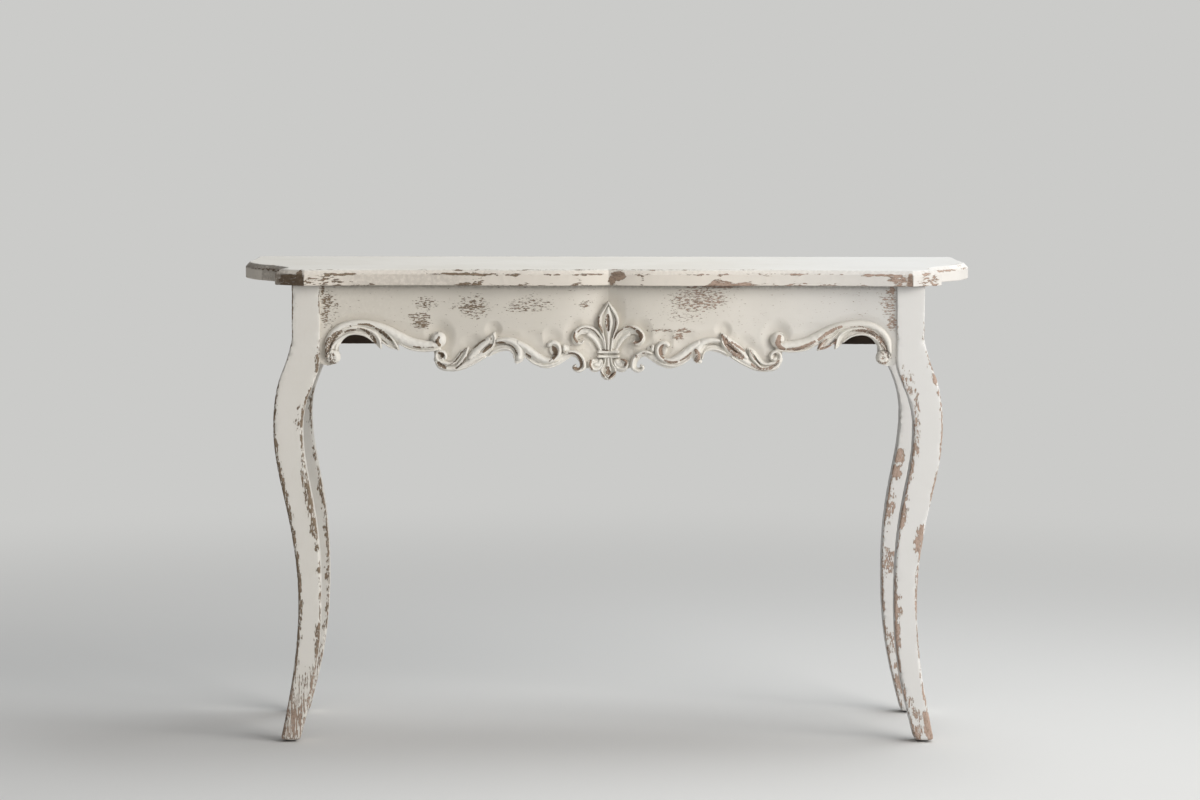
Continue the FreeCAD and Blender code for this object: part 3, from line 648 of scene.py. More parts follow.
def make_leg(row, name, side):
    y0, y1 = LEG_Y[row]
    seed = LEG_SEEDS[row] + (1 if side > 0 else 0)
    sole = np.array(SOLE) * MM
    heights = np.concatenate([FOOT_Z + sole[:, 0], np.linspace(FOOT_Z + 8 * MM, UNDER_TOP, LEG_RINGS)])
    inner, outer = leg_widths(heights)
    tuck = np.interp(heights - FOOT_Z, *sole.T)
    worn_foot = 1 - step_up(0.03, 0.12, heights)
    crisp_post = step_up(UNDER_TOP - POST_LENGTH, UNDER_TOP - POST_LENGTH + 0.02, heights)
    uneven = smooth_noise(heights[:, None] * (0, 0, 1), 0.11, seed)
    radii = LEG_ARRIS * (1.05 + 0.45 * worn_foot + 0.2 * uneven) * (1 - 0.5 * crisp_post)
    rings = []
    for z, x0, x1, t, radius in zip(heights, inner, outer, tuck, radii):
        section = leg_section(x0 + t, x1 - t, y0 + t, y1 - t, radius)
        rings.append(np.column_stack([section * (side, 1), np.full(len(section), z)]))
    verts = np.vstack(rings)
    faces = ring_faces(len(heights), len(section))
    if side < 0:
        faces = [face[::-1] for face in faces]
    near_arris = [0.5 + 0.5 * np.sin(2 * ARC), 0.32 * np.maximum(0, 1 - 5 * np.minimum(FLAT, 1 - FLAT))]
    arris = np.tile(np.concatenate(near_arris), 4 * len(heights))
    low, high = (np.interp(verts[:, 2], heights, face) for face in (inner, outer))
    middle = (low + high) / 2
    place = (side * verts[:, 0] - middle) / ((high - low) / 2)
    foot = 1 - step_up(0.03, 0.17, verts[:, 2])
    wear = leg_wear(LEG_PATCHES[row + "_" + name], verts, arris, place, y0, foot, seed)

    chips = smooth_noise(verts, 0.012, seed + 9) * smooth_noise(verts, 0.05, seed + 11)
    depth = np.clip(chips, 0, 1) * arris * CHIP_DEPTH * (1 + foot)
    inwards = np.column_stack([side * middle, np.full(len(verts), (y0 + y1) / 2)]) - verts[:, :2]
    inwards /= np.hypot(*inwards.T)[:, None] + 1e-9
    verts[:, :2] += inwards * depth[:, None]
    node = "leg_%s_%s" % (row, name)
    make_piece(node + "_painted", verts, faces, leg_paint, [node], wear)


def make_legs():
    for row in LEG_Y:
        for name, side in SIDES:
            make_leg(row, name, side)


# ---- aprons ----
# Dished ground beside the carving: (x, drop, half width, half height, depth), millimetres. All
# round the carving the ground also falls by TROUGH_DEPTH over TROUGH_WIDTH.
HOLLOWS = [
    (282, 88, 26, 31, 7), (192, 77, 15, 17, 5), (128, 92, 26, 20, 3), (55, 80, 19, 26, 5.5),
    (352, 78, 40, 16, 2), (226, 100, 22, 18, 3.5), (95, 90, 19, 20, 4), (36, 112, 16, 14, 3),
    (2, 37, 26, 30, 5.5),
]
TROUGH_DEPTH, TROUGH_WIDTH = 2.6, 15.0
# Rubbed places of the apron: (x, drop, half width, half height, strength), millimetres.
APRON_PATCHES = [
    (-304, 32, 28, 14, 0.54), (-316, 54, 26, 10, 0.66), (-312, 66, 20, 12, 0.76), (-228, 37, 32, 9, 0.7),
    (-226, 37, 44, 24, 0.54), (-148, 37, 34, 14, 0.56), (-130, 32, 50, 20, 0.46), (-40, 34, 10, 8, 0.54),
    (-32, 29, 8, 6, 0.48), (150, 26, 70, 29, 0.58), (164, 28, 40, 10, 0.64), (117, 86, 13, 9, 0.76),
    (128, 76, 24, 6, 0.6), (96, 76, 42, 2.5, 0.66), (-470, 30, 12, 22, 0.74), (-473, 54, 8, 22, 0.68),
    (468, 30, 18, 26, 0.58), (474, 60, 11, 22, 0.7), (472, 10, 14, 10, 0.62), (175, 3, 62, 5, 0.7),
    (130, 44, 50, 26, 0.3), (-466, 40, 26, 40, 0.4), (473, 8, 6, 10, 1.1), (-477, 8, 4, 12, 1),
]
APRON_STEP, APRON_ROWS = 1.8, 72  # columns of the front apron's mesh every so many millimetres, and rows
BOARD_STEP, BOARD_SOFT = 4 * MM, 1.4 * MM  # mesh and edge rounding of the plain aprons


def apron_edge_z(x):
    """Height of the front apron's lower edge at x."""
    line = np.vstack([spline(run, 0.5) for run in APRON_EDGE])[::-1] * MM
    order = np.maximum.accumulate(line[:, 0] + np.arange(len(line)) * 1e-9)
    return UNDER_TOP - np.interp(np.abs(x), order, line[:, 1])


def ground_depth(x, drop):
    """How far the ground lies behind the apron's face at x (right half) and drop, millimetres."""
    hollow = near(np.stack([x, drop], -1), HOLLOWS, 0.25)
    beside = np.full(x.shape, 99.0)
    for drawing in (ARCH, LEAF, WAVE, INNER, FLEUR):
        for _, points in drawing["base"]:
            beside = np.minimum(beside, spread(x, drop, points, 1.5)[1])
    return np.hypot(hollow, TROUGH_DEPTH * (1 - step_up(0, TROUGH_WIDTH, beside)))


def make_front_apron():
    half = APRON_EDGE[0][0][0]
    corners = [side * x for run in APRON_EDGE for x, _ in run for side in (-1, 1)]
    even = np.linspace(-half, half, round(2 * half / APRON_STEP) + 1)
    xs = np.unique(np.concatenate([even, corners])) * MM
    x = np.tile(xs, (APRON_ROWS, 1))
    z = UNDER_TOP + (apron_edge_z(xs) - UNDER_TOP) * np.linspace(0, 1, APRON_ROWS)[:, None]
    ground = ground_depth(np.abs(x) / MM, (UNDER_TOP - z) / MM) * MM
    front = np.stack([x, serpentine_y(x) + APRON_SETBACK + ground, z], -1).reshape(-1, 3)
    verts = np.vstack([front, front])
    verts[x.size:, 1] = APRON_BACK
    number = np.arange(x.size).reshape(x.shape)
    faces = sheet_faces(number, np.ones_like(number[1:, 1:], bool), flip=True)
    inside = [i for i, face in enumerate(faces) if min(face) >= x.size]

    across, drop = verts[:, 0] / MM, (UNDER_TOP - verts[:, 2]) / MM
    to_edge = (verts[:, 2] - apron_edge_z(verts[:, 0])) / MM
    rubbed = near(np.column_stack([across, drop]), APRON_PATCHES, 0.35)
    wear = np.maximum(rubbed, 0.3 * (1 - step_up(0, 6, to_edge)))
    wear[x.size:] = 0.1
    # Painted shade: darker under the top's overhang, towards the left half and in the corner by the legs.
    shade_under_top = 1 - step_up(0, 15, drop)
    shade_to_left = step_up(180, 420, -across)
    shade_by_leg = step_up(half - 2, half, np.abs(across))
    painted_shade_and_glaze = np.max([0.52 * shade_under_top, 0.24 * shade_to_left, 0.15 * shade_by_leg], axis=0)
    make_piece("front_apron_painted", verts, faces, apron_paint, ["front_apron"], wear, painted_shade_and_glaze, smooth=False,
               bare=inside)


def make_board(node, low, high, unpainted):
    """Plain apron board with softened edges, divided finely enough to carry the wear.

    unpainted is the (axis, end) of its face on the inside of the frame.
    """
    axes = []
    for a, b in zip(low, high):
        count = max(int((b - a) / BOARD_STEP), 2)
        axes.append(np.concatenate([[a], np.linspace(a + BOARD_SOFT, b - BOARD_SOFT, count), [b]]))
    index, verts, faces, bare = {}, [], [], []

    def vertex(place):
        """Number of the vertex at a place of the grid, drawn in where it is on an edge or a corner."""
        if place not in index:
            point = np.array([axes[k][place[k]] for k in range(3)])
            ends = sum(place[k] in (0, len(axes[k]) - 1) for k in range(3))
            if ends > 1:
                inner = np.clip(point, low + BOARD_SOFT, high - BOARD_SOFT)
                point = inner + (point - inner) * (0.72 if ends == 2 else 0.6)
            index[place] = len(verts)
            verts.append(point)
        return index[place]

    sizes = [len(a) for a in axes]
    for axis in range(3):
        u, v = [a for a in range(3) if a != axis]
        for end in (0, sizes[axis] - 1):
            for i, j in np.ndindex(sizes[u] - 1, sizes[v] - 1):
                quad = []
                for du, dv in ((0, 0), (1, 0), (1, 1), (0, 1)):
                    place = {axis: end, u: i + du, v: j + dv}
                    quad.append(vertex((place[0], place[1], place[2])))
                if (axis, int(end > 0)) == unpainted:
                    bare.append(len(faces))
                outward = (end > 0) == (axis != 1)
                faces.append(quad if outward else quad[::-1])
    verts = np.array(verts)
    lower = 1 - step_up(0, 5 * MM, verts[:, 2] - low[2])
    wear = 0.5 * lower * (0.8 + 0.4 * smooth_noise(verts, 0.08, 61))
    make_piece(node + "_painted", verts, faces, apron_paint, [node], wear, smooth=False, bare=bare)


def make_plain_aprons():
    """The back apron between the posts, and the side aprons between the legs."""
    low, high = box("back_apron")
    low[0], high[0] = -POST_INNER, POST_INNER
    make_board("back_apron", low, high, (1, 0))
    for name, side in SIDES:
        low, high = box("side_apron_" + name)
        low[1], high[1] = APRON_BACK, LEG_Y["back"][0]
        make_board("side_apron_" + name, low, high, (0, int(side < 0)))


# ---- carvings ----
# Each stroke is (height, [(x, drop, half width), ...]) in millimetres on the right half of the
# apron. Base strokes give a carving's outline, ridges its rolls and rims, and cuts its grooves.
ARCH = {
    "base": [
        (4.5, [(462, 110, 7), (457, 93, 11.5), (445, 79, 11.5), (430, 72, 11), (412, 70, 10.5),
            (394, 72, 9), (377, 77, 8.5), (360, 86, 8.5), (344, 94, 9), (325, 101, 9.5), (307, 104, 9.5),
            (288, 102, 9)]),
        (4.5, [(414, 75, 6), (400, 80, 7.5), (391, 89, 6.5), (384, 99, 4.5), (380, 106, 2)]),
        (4.5, [(386, 75, 5), (373, 85, 8), (362, 96, 7), (355, 104, 4), (351, 109, 2)]),
        (5, [(459, 121, 11.7), (459, 120, 11.7)]),
        (5, [(284, 93, 12.8), (284, 92, 12.8)]),
    ],
    "ridge": [
        (10.5, [(470, 119, 4), (469.5, 105, 5.5), (466, 92, 6.2), (458, 79.5, 6.2), (446, 70.5, 6),
            (430, 65.5, 6), (411, 64.5, 6), (394, 67.5, 6.5), (378, 72.5, 7), (361, 81, 8), (344, 91, 9),
            (328, 97.5, 8.5), (308, 101, 7.5), (293, 101.5, 7), (283, 99, 6)]),
        (10.5, [(284, 91.5, 12), (284, 92.5, 12)]),
        (8.5, [(458, 84, 2), (446, 76.5, 3), (433, 72.5, 3), (420, 72, 3), (410, 73, 3), (398, 76.5, 3),
            (388, 83.5, 3.5), (382, 94, 3), (380.5, 106, 1.5)]),
        (8.5, [(393, 95, 1.5), (404, 86.5, 2), (419, 82, 2.2), (434, 83, 2.5), (446, 89, 3.5),
            (456, 97, 3.5), (462, 106, 3), (464, 115, 3)]),
        (6, [(449, 94, 1.5), (453, 100, 2.5), (455, 109, 2.5)]),
        (10.5, [(459, 120, 11), (459, 121.5, 11)]),
        (8.5, [(383, 74, 1.5), (373, 80, 2), (363, 88.5, 2), (356.5, 98, 2), (351.5, 108.5, 1)]),
        (7, [(378, 96, 1.5), (370, 102, 1.5), (360.5, 106.5, 1.5), (352.5, 108.5, 1)]),
        (6.5, [(350, 98, 1.5), (336.5, 106, 2), (323, 110, 2), (303, 111, 2), (281.5, 109, 2)]),
    ],
    "cut": [
        (1.8, [(460, 121, 7), (459.5, 123, 7)]),
        (6, [(471, 126, 1), (471.8, 119, 1.3), (468, 111, 1.5), (461, 108.3, 1.5), (452.5, 110.5, 1.2)]),
        (5, [(286, 81, 1), (293.5, 85, 2), (295.5, 91, 2.4), (291.5, 96, 2), (287, 95, 1.4)]),
        (2.6, [(465, 106, 1.5), (462.5, 96, 2), (455, 84, 2), (445, 76, 1.8), (434, 71.5, 1.2)]),
        (3, [(444, 84, 1.5), (430, 77.5, 2), (416, 77, 2.2), (403, 80, 3), (393.5, 89, 3.5),
            (386.5, 100, 2.2)]),
        (3, [(383, 77, 1.5), (378, 82, 2.5), (371, 87.5, 3), (364, 94, 2.5), (359, 101, 1.5)]),
        (3, [(323, 106, 1.2), (313, 107.5, 1.2)]),
    ],
}
LEAF = {
    "base": [
        (4.5, [(286, 125, 6), (279, 135, 7.5), (265, 139, 6.5), (252, 138, 6.7), (239, 132, 8.5),
            (223, 122, 10), (208, 110, 11), (198, 98, 9.5), (193, 88, 6), (190, 81, 2)]),
        (4.5, [(262, 136, 5), (250, 127, 7), (242, 116, 6.5), (235, 107, 2.5)]),
        (4.5, [(280, 120, 10), (280, 121, 10)]),
    ],
    "ridge": [
        (10, [(240.5, 112, 1), (249, 123, 1.6), (256, 130, 2), (263.5, 132.5, 2.6), (274, 131, 3),
            (284.5, 127, 3.5), (288, 120, 3), (285, 113, 2.5), (279, 112, 3), (273, 116, 3),
            (272.5, 123, 3)]),
        (9, [(280, 123.5, 3.5), (277, 124.5, 3.5)]),
        (8.5, [(288, 128, 2.5), (283, 135.5, 3.5), (272, 140.5, 4), (259, 140.5, 4), (244.5, 136, 4.5),
            (228, 126.5, 5.5), (213, 116.5, 6.5), (201, 104.5, 6.5), (195, 93, 4.5), (192.5, 84, 1.5)]),
        (9.5, [(231, 122, 4), (221.5, 112, 6.8), (210, 101, 6.8), (200, 91.5, 4.6), (194.5, 84, 1.5)]),
        (11.5, [(192, 82, 1.2), (190, 88.5, 1.6), (191, 97, 2), (196, 104.5, 2)]),
        (9.5, [(253, 136, 2.5), (245.5, 128, 4), (239.5, 118.5, 4), (236, 108.5, 1.5)]),
        (7, [(254.5, 143, 1.5), (238, 138, 2), (221, 129.5, 2.5), (207, 121, 2.5)]),
    ],
    "cut": [
        (5, [(214, 112, 1.8), (205, 105, 2.2), (198, 99, 1.6)]),
        (4, [(200, 84.5, 1.2), (196, 91, 1.6)]),
        (3.5, [(268, 134.5, 1.2), (260, 135, 1.4), (251, 129.5, 1.4), (244, 117, 1.4), (238, 108, 1.2)]),
        (3.5, [(254, 140, 1.2), (246, 133, 1.6), (236.5, 122, 1.6), (231, 111, 1.4)]),
        (4, [(281, 117, 2.2), (277, 116, 2)]),
    ],
}
WAVE = {
    "base": [
        (4, [(200, 116, 4.5), (189, 110, 5), (178, 106, 5.5), (165, 107, 4), (155, 114, 4)]),
        (4.5, [(182, 94, 4.5), (171, 93, 5), (158, 97, 7.5), (149, 105, 9), (146, 115, 6.5), (148, 124, 6),
            (153, 128, 4)]),
        (4.5, [(147, 105, 8), (130, 117, 9), (116, 127, 9), (101, 131, 8.5), (85, 126, 8), (66, 118, 4)]),
        (4, [(89, 107, 9.5), (89, 108, 9.5)]),
    ],
    "ridge": [
        (10.5, [(187, 93.5, 3), (174.5, 92, 4), (161, 95, 5.5), (152, 102, 6.5), (148.5, 112, 6.5),
            (149.5, 121, 6)]),
        (7, [(200, 116.5, 2), (196, 114, 2.5), (185, 108.5, 2.5), (173.5, 106.5, 2.5), (163.5, 109.5, 2.5),
            (158.5, 116, 1.5), (157, 123, 1.5)]),
        (10.5, [(151, 97.5, 5), (139.5, 104, 6), (127.5, 113.5, 6.5), (116, 121.5, 6.5), (102.5, 126.5, 5),
            (91, 124.5, 4), (83, 116.5, 3.5), (81.5, 106.5, 3.5), (86.5, 98, 3.5), (94, 96.5, 4),
            (99, 100, 4)]),
        (6.5, [(136, 122.5, 1.5), (126, 129.5, 2.5), (112.5, 134.5, 2.5), (97.5, 133.5, 2.5),
            (82.5, 127.5, 2)]),
    ],
    "cut": [
        (2.5, [(186, 100, 2.5), (178, 98.5, 2.5), (170, 100, 1.5), (163, 104.5, 1.5), (158, 111, 1.5)]),
        (4, [(138, 117, 1.2), (131, 122, 1.6)]),
        (3, [(93, 106, 5), (91, 114, 4.5), (96, 121, 2.5)]),
    ],
}
INNER = {
    "base": [
        (4, [(76, 120, 4.5), (68, 116, 5), (58, 115, 5), (49, 120, 5.5), (43, 129, 5.5), (43, 138, 5),
            (50, 143, 4), (57, 139, 3.5)]),
        (4, [(71, 107, 6), (71, 108, 6)]),
    ],
    "ridge": [
        (9, [(74, 102.5, 3), (73, 107.5, 4)]),
        (10, [(77, 121, 2), (69, 113.5, 2.5), (59, 111.5, 2.5), (50, 115, 3), (43, 122.5, 3), (40, 132, 3),
            (40.5, 139, 3), (47, 143, 3), (54.5, 142.5, 3), (58, 138, 2.5), (55, 135, 2)]),
    ],
    "cut": [
        (2, [(64, 118, 2), (54, 121, 2), (48.5, 129, 2), (48, 136, 2)]),
    ],
}
FLEUR = {
    "base": [
        (5, [(0, 30, 1.5), (0, 42, 8.5), (0, 50, 14), (0, 58, 17.5), (0, 66, 17.5), (0, 74, 15),
            (0, 84, 11), (0, 92, 8.5), (0, 101, 6.5), (0, 113, 6)]),
        (5, [(5, 114, 4), (10, 104, 4.5), (14, 94, 6.5), (21, 84, 7.5), (33, 77, 7), (44, 76, 6.3),
            (54, 82, 5.5), (57, 91, 4.7), (52, 98, 3.7), (45, 97, 2.8)]),
        (5, [(22, 136, 11), (22, 135, 11)]),
        (5, [(0, 120, 8), (0, 135, 10), (0, 143, 13.5), (0, 148, 13), (0, 153, 7.5), (0, 159, 1.5)]),
    ],
    "ridge": [
        (11, [(6, 106, 2), (8.5, 94, 2), (16, 82, 2.2), (26, 73, 2.5), (37.5, 70, 2.5), (49, 72.5, 2.5),
            (56, 80.5, 2.5), (57, 88, 2.5), (52.5, 95.5, 2.5), (45.5, 97.5, 2.5), (42, 94.5, 2)]),
        (6.6, [(13, 109, 3), (18.5, 97.5, 4), (25, 88.5, 4.6), (33, 83, 4)]),
        (9.5, [(10, 130, 1.5), (14, 139, 3.5), (22, 141.5, 3.5), (29.5, 137, 3.5), (30.5, 130, 3),
            (26, 126.5, 2.5)]),
        (8, [(13, 129, 4.5), (17, 134, 5), (21, 134, 4)]),
        (12.5, [(0, 30, 1.4), (6.5, 41.5, 2), (12.5, 51, 2.5), (15.5, 61, 2.5), (13.5, 72, 2.3),
            (9, 84, 2), (6, 96, 2), (4.5, 109.5, 1.5)]),
        (13.5, [(0, 38, 2), (0, 48, 6), (0, 58, 9), (0, 66, 9), (0, 76, 6.5), (0, 90, 3.5), (0, 110, 2.5)]),
        (12.5, [(-16, 112.5, 2.8), (0, 113, 2.8), (16, 112.5, 2.8)]),
        (12.5, [(-16, 120, 2.8), (0, 120.5, 2.8), (16, 120, 2.8)]),
        (10.5, [(4.5, 123, 1.5), (6.5, 133, 2), (11.5, 143, 2.5), (10, 148.5, 2), (1, 158, 1.5)]),
        (11.5, [(0, 123, 2.5), (0, 134, 3), (0, 143, 6), (0, 149, 6), (0, 155, 2)]),
    ],
    "cut": [
        (4, [(0, 52, 1.5), (0, 62, 3.5), (0, 76, 2)]),
        (3, [(0, 143, 4), (0, 148, 4.5)]),
    ],
}
# Where the paint is rubbed off the carvings: (strength, [(x, drop, half width), ...]), on the left
# half for a negative x, millimetres.
CARVING_WEAR = [
    (0.74, [(-472, 122, 4), (-470, 108, 6), (-465, 95, 7), (-456, 84, 5.5), (-446, 78, 3)]),
    (1, [(-430.6, 68.5, 1.4), (-430, 69, 1.4)]),
    (0.85, [(-440, 79, 1.5), (-431, 76, 2.4), (-423, 75.5, 1.6)]),
    (0.88, [(-418, 65.5, 1.2), (-409, 66, 2), (-402, 66.5, 2.4), (-396, 68, 2.4), (-391, 70, 1.4)]),
    (0.78, [(-418, 72.5, 1.6), (-408, 75.5, 2.6), (-401, 80, 3), (-394, 88, 3.6), (-389, 97, 2.6)]),
    (0.78, [(-388, 73, 2.4), (-379, 79, 3.6), (-370, 87, 3.6), (-362, 94, 2)]),
    (0.95, [(-325, 104, 1.4), (-315, 105, 1.6)]),
    (0.55, [(-312, 105, 1), (-292, 104.5, 1.2)]),
    (0.95, [(-283, 88, 2), (-286, 95, 3.2), (-282, 101, 2.6)]),
    (0.56, [(-461, 116, 5), (-460, 124, 6)]),
    (0.75, [(-464, 129, 2.5), (-457, 130, 3)]),
    (0.85, [(-283, 114, 2.5), (-277, 118, 3.5), (-279, 122, 2)]),
    (0.8, [(-284, 131, 3), (-278, 136, 4), (-272, 139, 2)]),
    (0.74, [(-267, 134.6, 0.8), (-255.5, 127.4, 1), (-246, 114.3, 1.2), (-237, 106, 0.8)]),
    (0.74, [(-233, 113, 0.8), (-238, 121.5, 1.2), (-247, 133.4, 1.4), (-255, 140, 1.6)]),
    (0.85, [(-225.7, 106, 1.4), (-219.8, 101, 2), (-213.8, 95.5, 2), (-206, 92.3, 1.2)]),
    (0.95, [(-209, 112.5, 1.6), (-202, 106, 2.8), (-195, 100.6, 2.2)]),
    (1.05, [(-186, 98, 2.8), (-179, 96.8, 2.8), (-173, 98.5, 2.2)]),
    (0.8, [(-172, 99, 1), (-163, 101.5, 1.1), (-156, 107.5, 1.4), (-153, 115, 1.8)]),
    (0.85, [(-138, 114.5, 1.4), (-130, 120, 1.7)]),
    (1.05, [(-93, 103.5, 1.8), (-89.5, 108, 4), (-88.5, 115, 3.8), (-92, 122, 2.4)]),
    (0.6, [(-102, 129.5, 1), (-95, 124, 1)]),
    (0.68, [(-1, 50, 2), (-2, 62, 3.8), (0, 76, 2.4)]),
    (0.8, [(-15.5, 54, 1.6), (-17, 62, 2.4), (-14, 70, 2.2), (-10, 80, 1.2)]),
    (0.72, [(10, 52, 0.9), (12.5, 62, 1.1), (10.5, 75, 1.1), (6.5, 88, 0.9)]),
    (0.85, [(-51, 79, 1.1), (-44.4, 73, 1.1), (-33.3, 72.2, 1), (-22, 79, 1), (-15, 89, 0.9)]),
    (0.84, [(-56, 79, 1.5), (-57, 87, 1.9), (-52, 95, 1.8)]),
    (0.8, [(24, 73.6, 1), (14, 82, 1), (10, 90, 0.9)]),
    (0.9, [(29, 70.5, 1.2), (36, 69.5, 1.5), (44, 73, 1.8)]),
    (1.05, [(48, 77, 2.4), (54, 84, 4), (51, 92, 3.2), (43, 97, 2)]),
    (0.6, [(71, 102.5, 2), (71, 103.5, 2)]),
    (0.9, [(-9, 109.5, 1), (0, 109.8, 1.1)]),
    (0.78, [(-1, 139, 3), (0, 148, 4.4)]),
    (1.05, [(12, 147, 2), (7, 152, 2.6), (2, 156, 1.8)]),
    (0.8, [(-13, 146, 1.4), (-7, 153, 1.6)]),
    (0.95, [(-29, 127, 1.8), (-30.5, 134, 2.2), (-27, 141, 1.6)]),
    (0.88, [(22, 125, 1.6), (30, 128, 2.2), (28, 135, 1.8)]),
    (0.95, [(-66, 113.5, 1.6), (-55, 115.5, 2), (-47, 124, 2.6), (-45.5, 134, 2.6), (-51, 140, 3),
        (-57, 139, 2.6)]),
    (0.85, [(46, 118, 2), (47, 120, 2)]),
    (0.8, [(58, 113.5, 1.8), (60, 113.5, 1.6)]),
    (1.05, [(91, 100.5, 1.6), (87.5, 106, 3.2), (88, 115, 3.2), (92, 121, 2.2)]),
    (0.86, [(94, 125, 1.8), (104, 129, 2.6), (114, 128, 2.4)]),
    (0.8, [(120, 126, 1.6), (130, 120, 2), (138, 113, 1.6)]),
    (0.9, [(146, 109, 3), (150, 117.5, 5), (148, 126, 4.6)]),
    (0.7, [(163, 99.5, 1), (172, 98.5, 1.3), (184, 99.5, 1)]),
    (1.05, [(190, 84, 2), (193, 90, 2.8), (196, 95, 2.6)]),
    (0.78, [(194, 90, 4), (198, 96, 5.5), (204, 104, 7.2), (212, 112, 7.2), (223, 120, 5)]),
    (0.8, [(206, 95, 1.6), (216, 102, 2.2), (227, 110, 1.6)]),
    (0.72, [(237, 109, 1), (243, 121, 1.4), (253, 131, 1.3)]),
    (0.74, [(240, 133, 2.2), (252, 140, 3), (265, 140.5, 3), (276, 136, 2.6), (285, 127, 2)]),
    (0.62, [(279, 115, 2.4), (277, 121, 2.4)]),
    (1.05, [(286, 86, 3), (284, 95, 4.6), (286.5, 103, 4), (294, 107, 2.6)]),
    (0.8, [(300, 107, 2.2), (310, 107, 3.2), (322, 105, 3.6), (334, 100, 3.2), (345, 94, 2.2)]),
    (0.86, [(352, 91, 2.4), (361, 84, 3.2), (370, 78, 3.4), (380, 72.5, 3.2), (389, 69, 2.2)]),
    (0.88, [(351, 105, 2), (357, 98, 2.2), (364, 91, 1.6)]),
    (0.8, [(354, 107, 1.4), (363, 105, 2.2), (372, 101.5, 2)]),
    (0.88, [(377, 101, 2.4), (380, 92, 2.6)]),
    (0.66, [(405, 69.5, 1), (421, 68.5, 1.2), (440, 75.5, 1.5), (453, 86, 1.5)]),
    (0.66, [(410, 75, 2.6), (428, 76, 3.8), (446, 83, 4.2), (457, 95, 4.6), (464, 108, 3.8),
        (467, 118, 2.8)]),
    (0.6, [(457, 114, 4), (459, 120, 5)]),
    (0.66, [(452, 127, 2.4), (460, 130, 3), (466, 126, 2)]),
    (0.5, [(404, 77, 1), (420, 77, 1), (436, 80, 1)]),
]
# Millimetres: the grid of the relief, the seam between neighbouring scrolls, the relief's height
# at its rim and at its lowest inside, and the marks of the tool.
CARVING_STEP = 0.62
SEAM = 0.15
RIM_HEIGHT, LEAST_HEIGHT = 0.9, 1.2
TOOL_MARKS = 0.18


def dense(stroke, step=0.5):
    """Centre points and half widths along a smooth stroke, millimetres."""
    points = np.array(stroke, float)
    line = spline(points[:, :2], step)
    chord = np.concatenate([[0], np.cumsum(np.hypot(*np.diff(points[:, :2], axis=0).T))])
    return line, np.interp(np.linspace(0, chord[-1], len(line)), chord, points[:, 2])


def spread(gx, gd, stroke, step=0.5):
    """Share of the way, 0 at the centre line and 1 at the edge, of each grid point in a stroke,
    and how far it lies outside the edge (negative inside), millimetres."""
    share, outside = np.full(gx.shape, 9.0), np.full(gx.shape, 999.0)
    for (x, drop), width in zip(*dense(stroke, step)):
        distance = np.hypot(gx - x, gd - drop)
        np.minimum(share, distance / width, out=share)
        np.minimum(outside, distance - width, out=outside)
    return share, outside


def all_strokes(drawing, mirrored):
    """(part, height, points) of every stroke, and of its mirror image if the drawing is mirrored."""
    strokes = []
    for part, rows in drawing.items():
        for height, points in rows:
            strokes.append((part, height, points))
            if mirrored and any(x for x, _, _ in points):
                strokes.append((part, height, [(-x, drop, width) for x, drop, width in points]))
    return strokes


def relief(gx, gd, strokes):
    """Height over the grid, distance outside the outline, depth of the cuts (all millimetres) and
    nearness to a ridge's crest."""
    height, cut, crest = np.zeros((3,) + gx.shape)
    outline = np.full(gx.shape, 999.0)
    for part, level, points in strokes:
        share, outside = spread(gx, gd, points)
        inside = np.clip(1 - share ** 2, 0, 1)
        if part == "cut":
            cut = np.maximum(cut, level * inside ** 1.2)
            continue
        outline = np.minimum(outline, outside)
        if part == "base":
            height = np.maximum(height, 0.7 * level * step_up(0, 4, -outside))
        else:
            height = np.maximum(height, level * inside ** 0.45)
            crest = np.maximum(crest, inside)
    marks = smooth_noise(np.stack([gx, gd * 0, gd], -1).reshape(-1, 3), 9, 17).reshape(gx.shape)
    return np.maximum(height - cut, LEAST_HEIGHT) + TOOL_MARKS * marks, outline, cut, crest


def cells_inside(outline):
    """The cells of the grid that the outline reaches into, and the grid points that they use."""
    used = outline < 0
    keep = used[:-1, :-1] | used[1:, :-1] | used[:-1, 1:] | used[1:, 1:]
    need = np.zeros(outline.shape, bool)
    for i, j in np.ndindex(2, 2):
        need[i:i + keep.shape[0], j:j + keep.shape[1]] |= keep
    return keep, need


def carving_wear(gx, gd, x0, x1, side):
    """Rubbed places over the grid of a carving, by the strokes that start or end in its width."""
    wear = np.zeros(gx.shape)
    for strength, points in CARVING_WEAR:
        stroke = [(side * x, drop, width) for x, drop, width in points]
        if x0 < stroke[0][0] < x1 or x0 < stroke[-1][0] < x1:
            wear = np.maximum(wear, strength * (1 - step_up(0.6, 1.5, spread(gx, gd, stroke)[0])))
    return wear


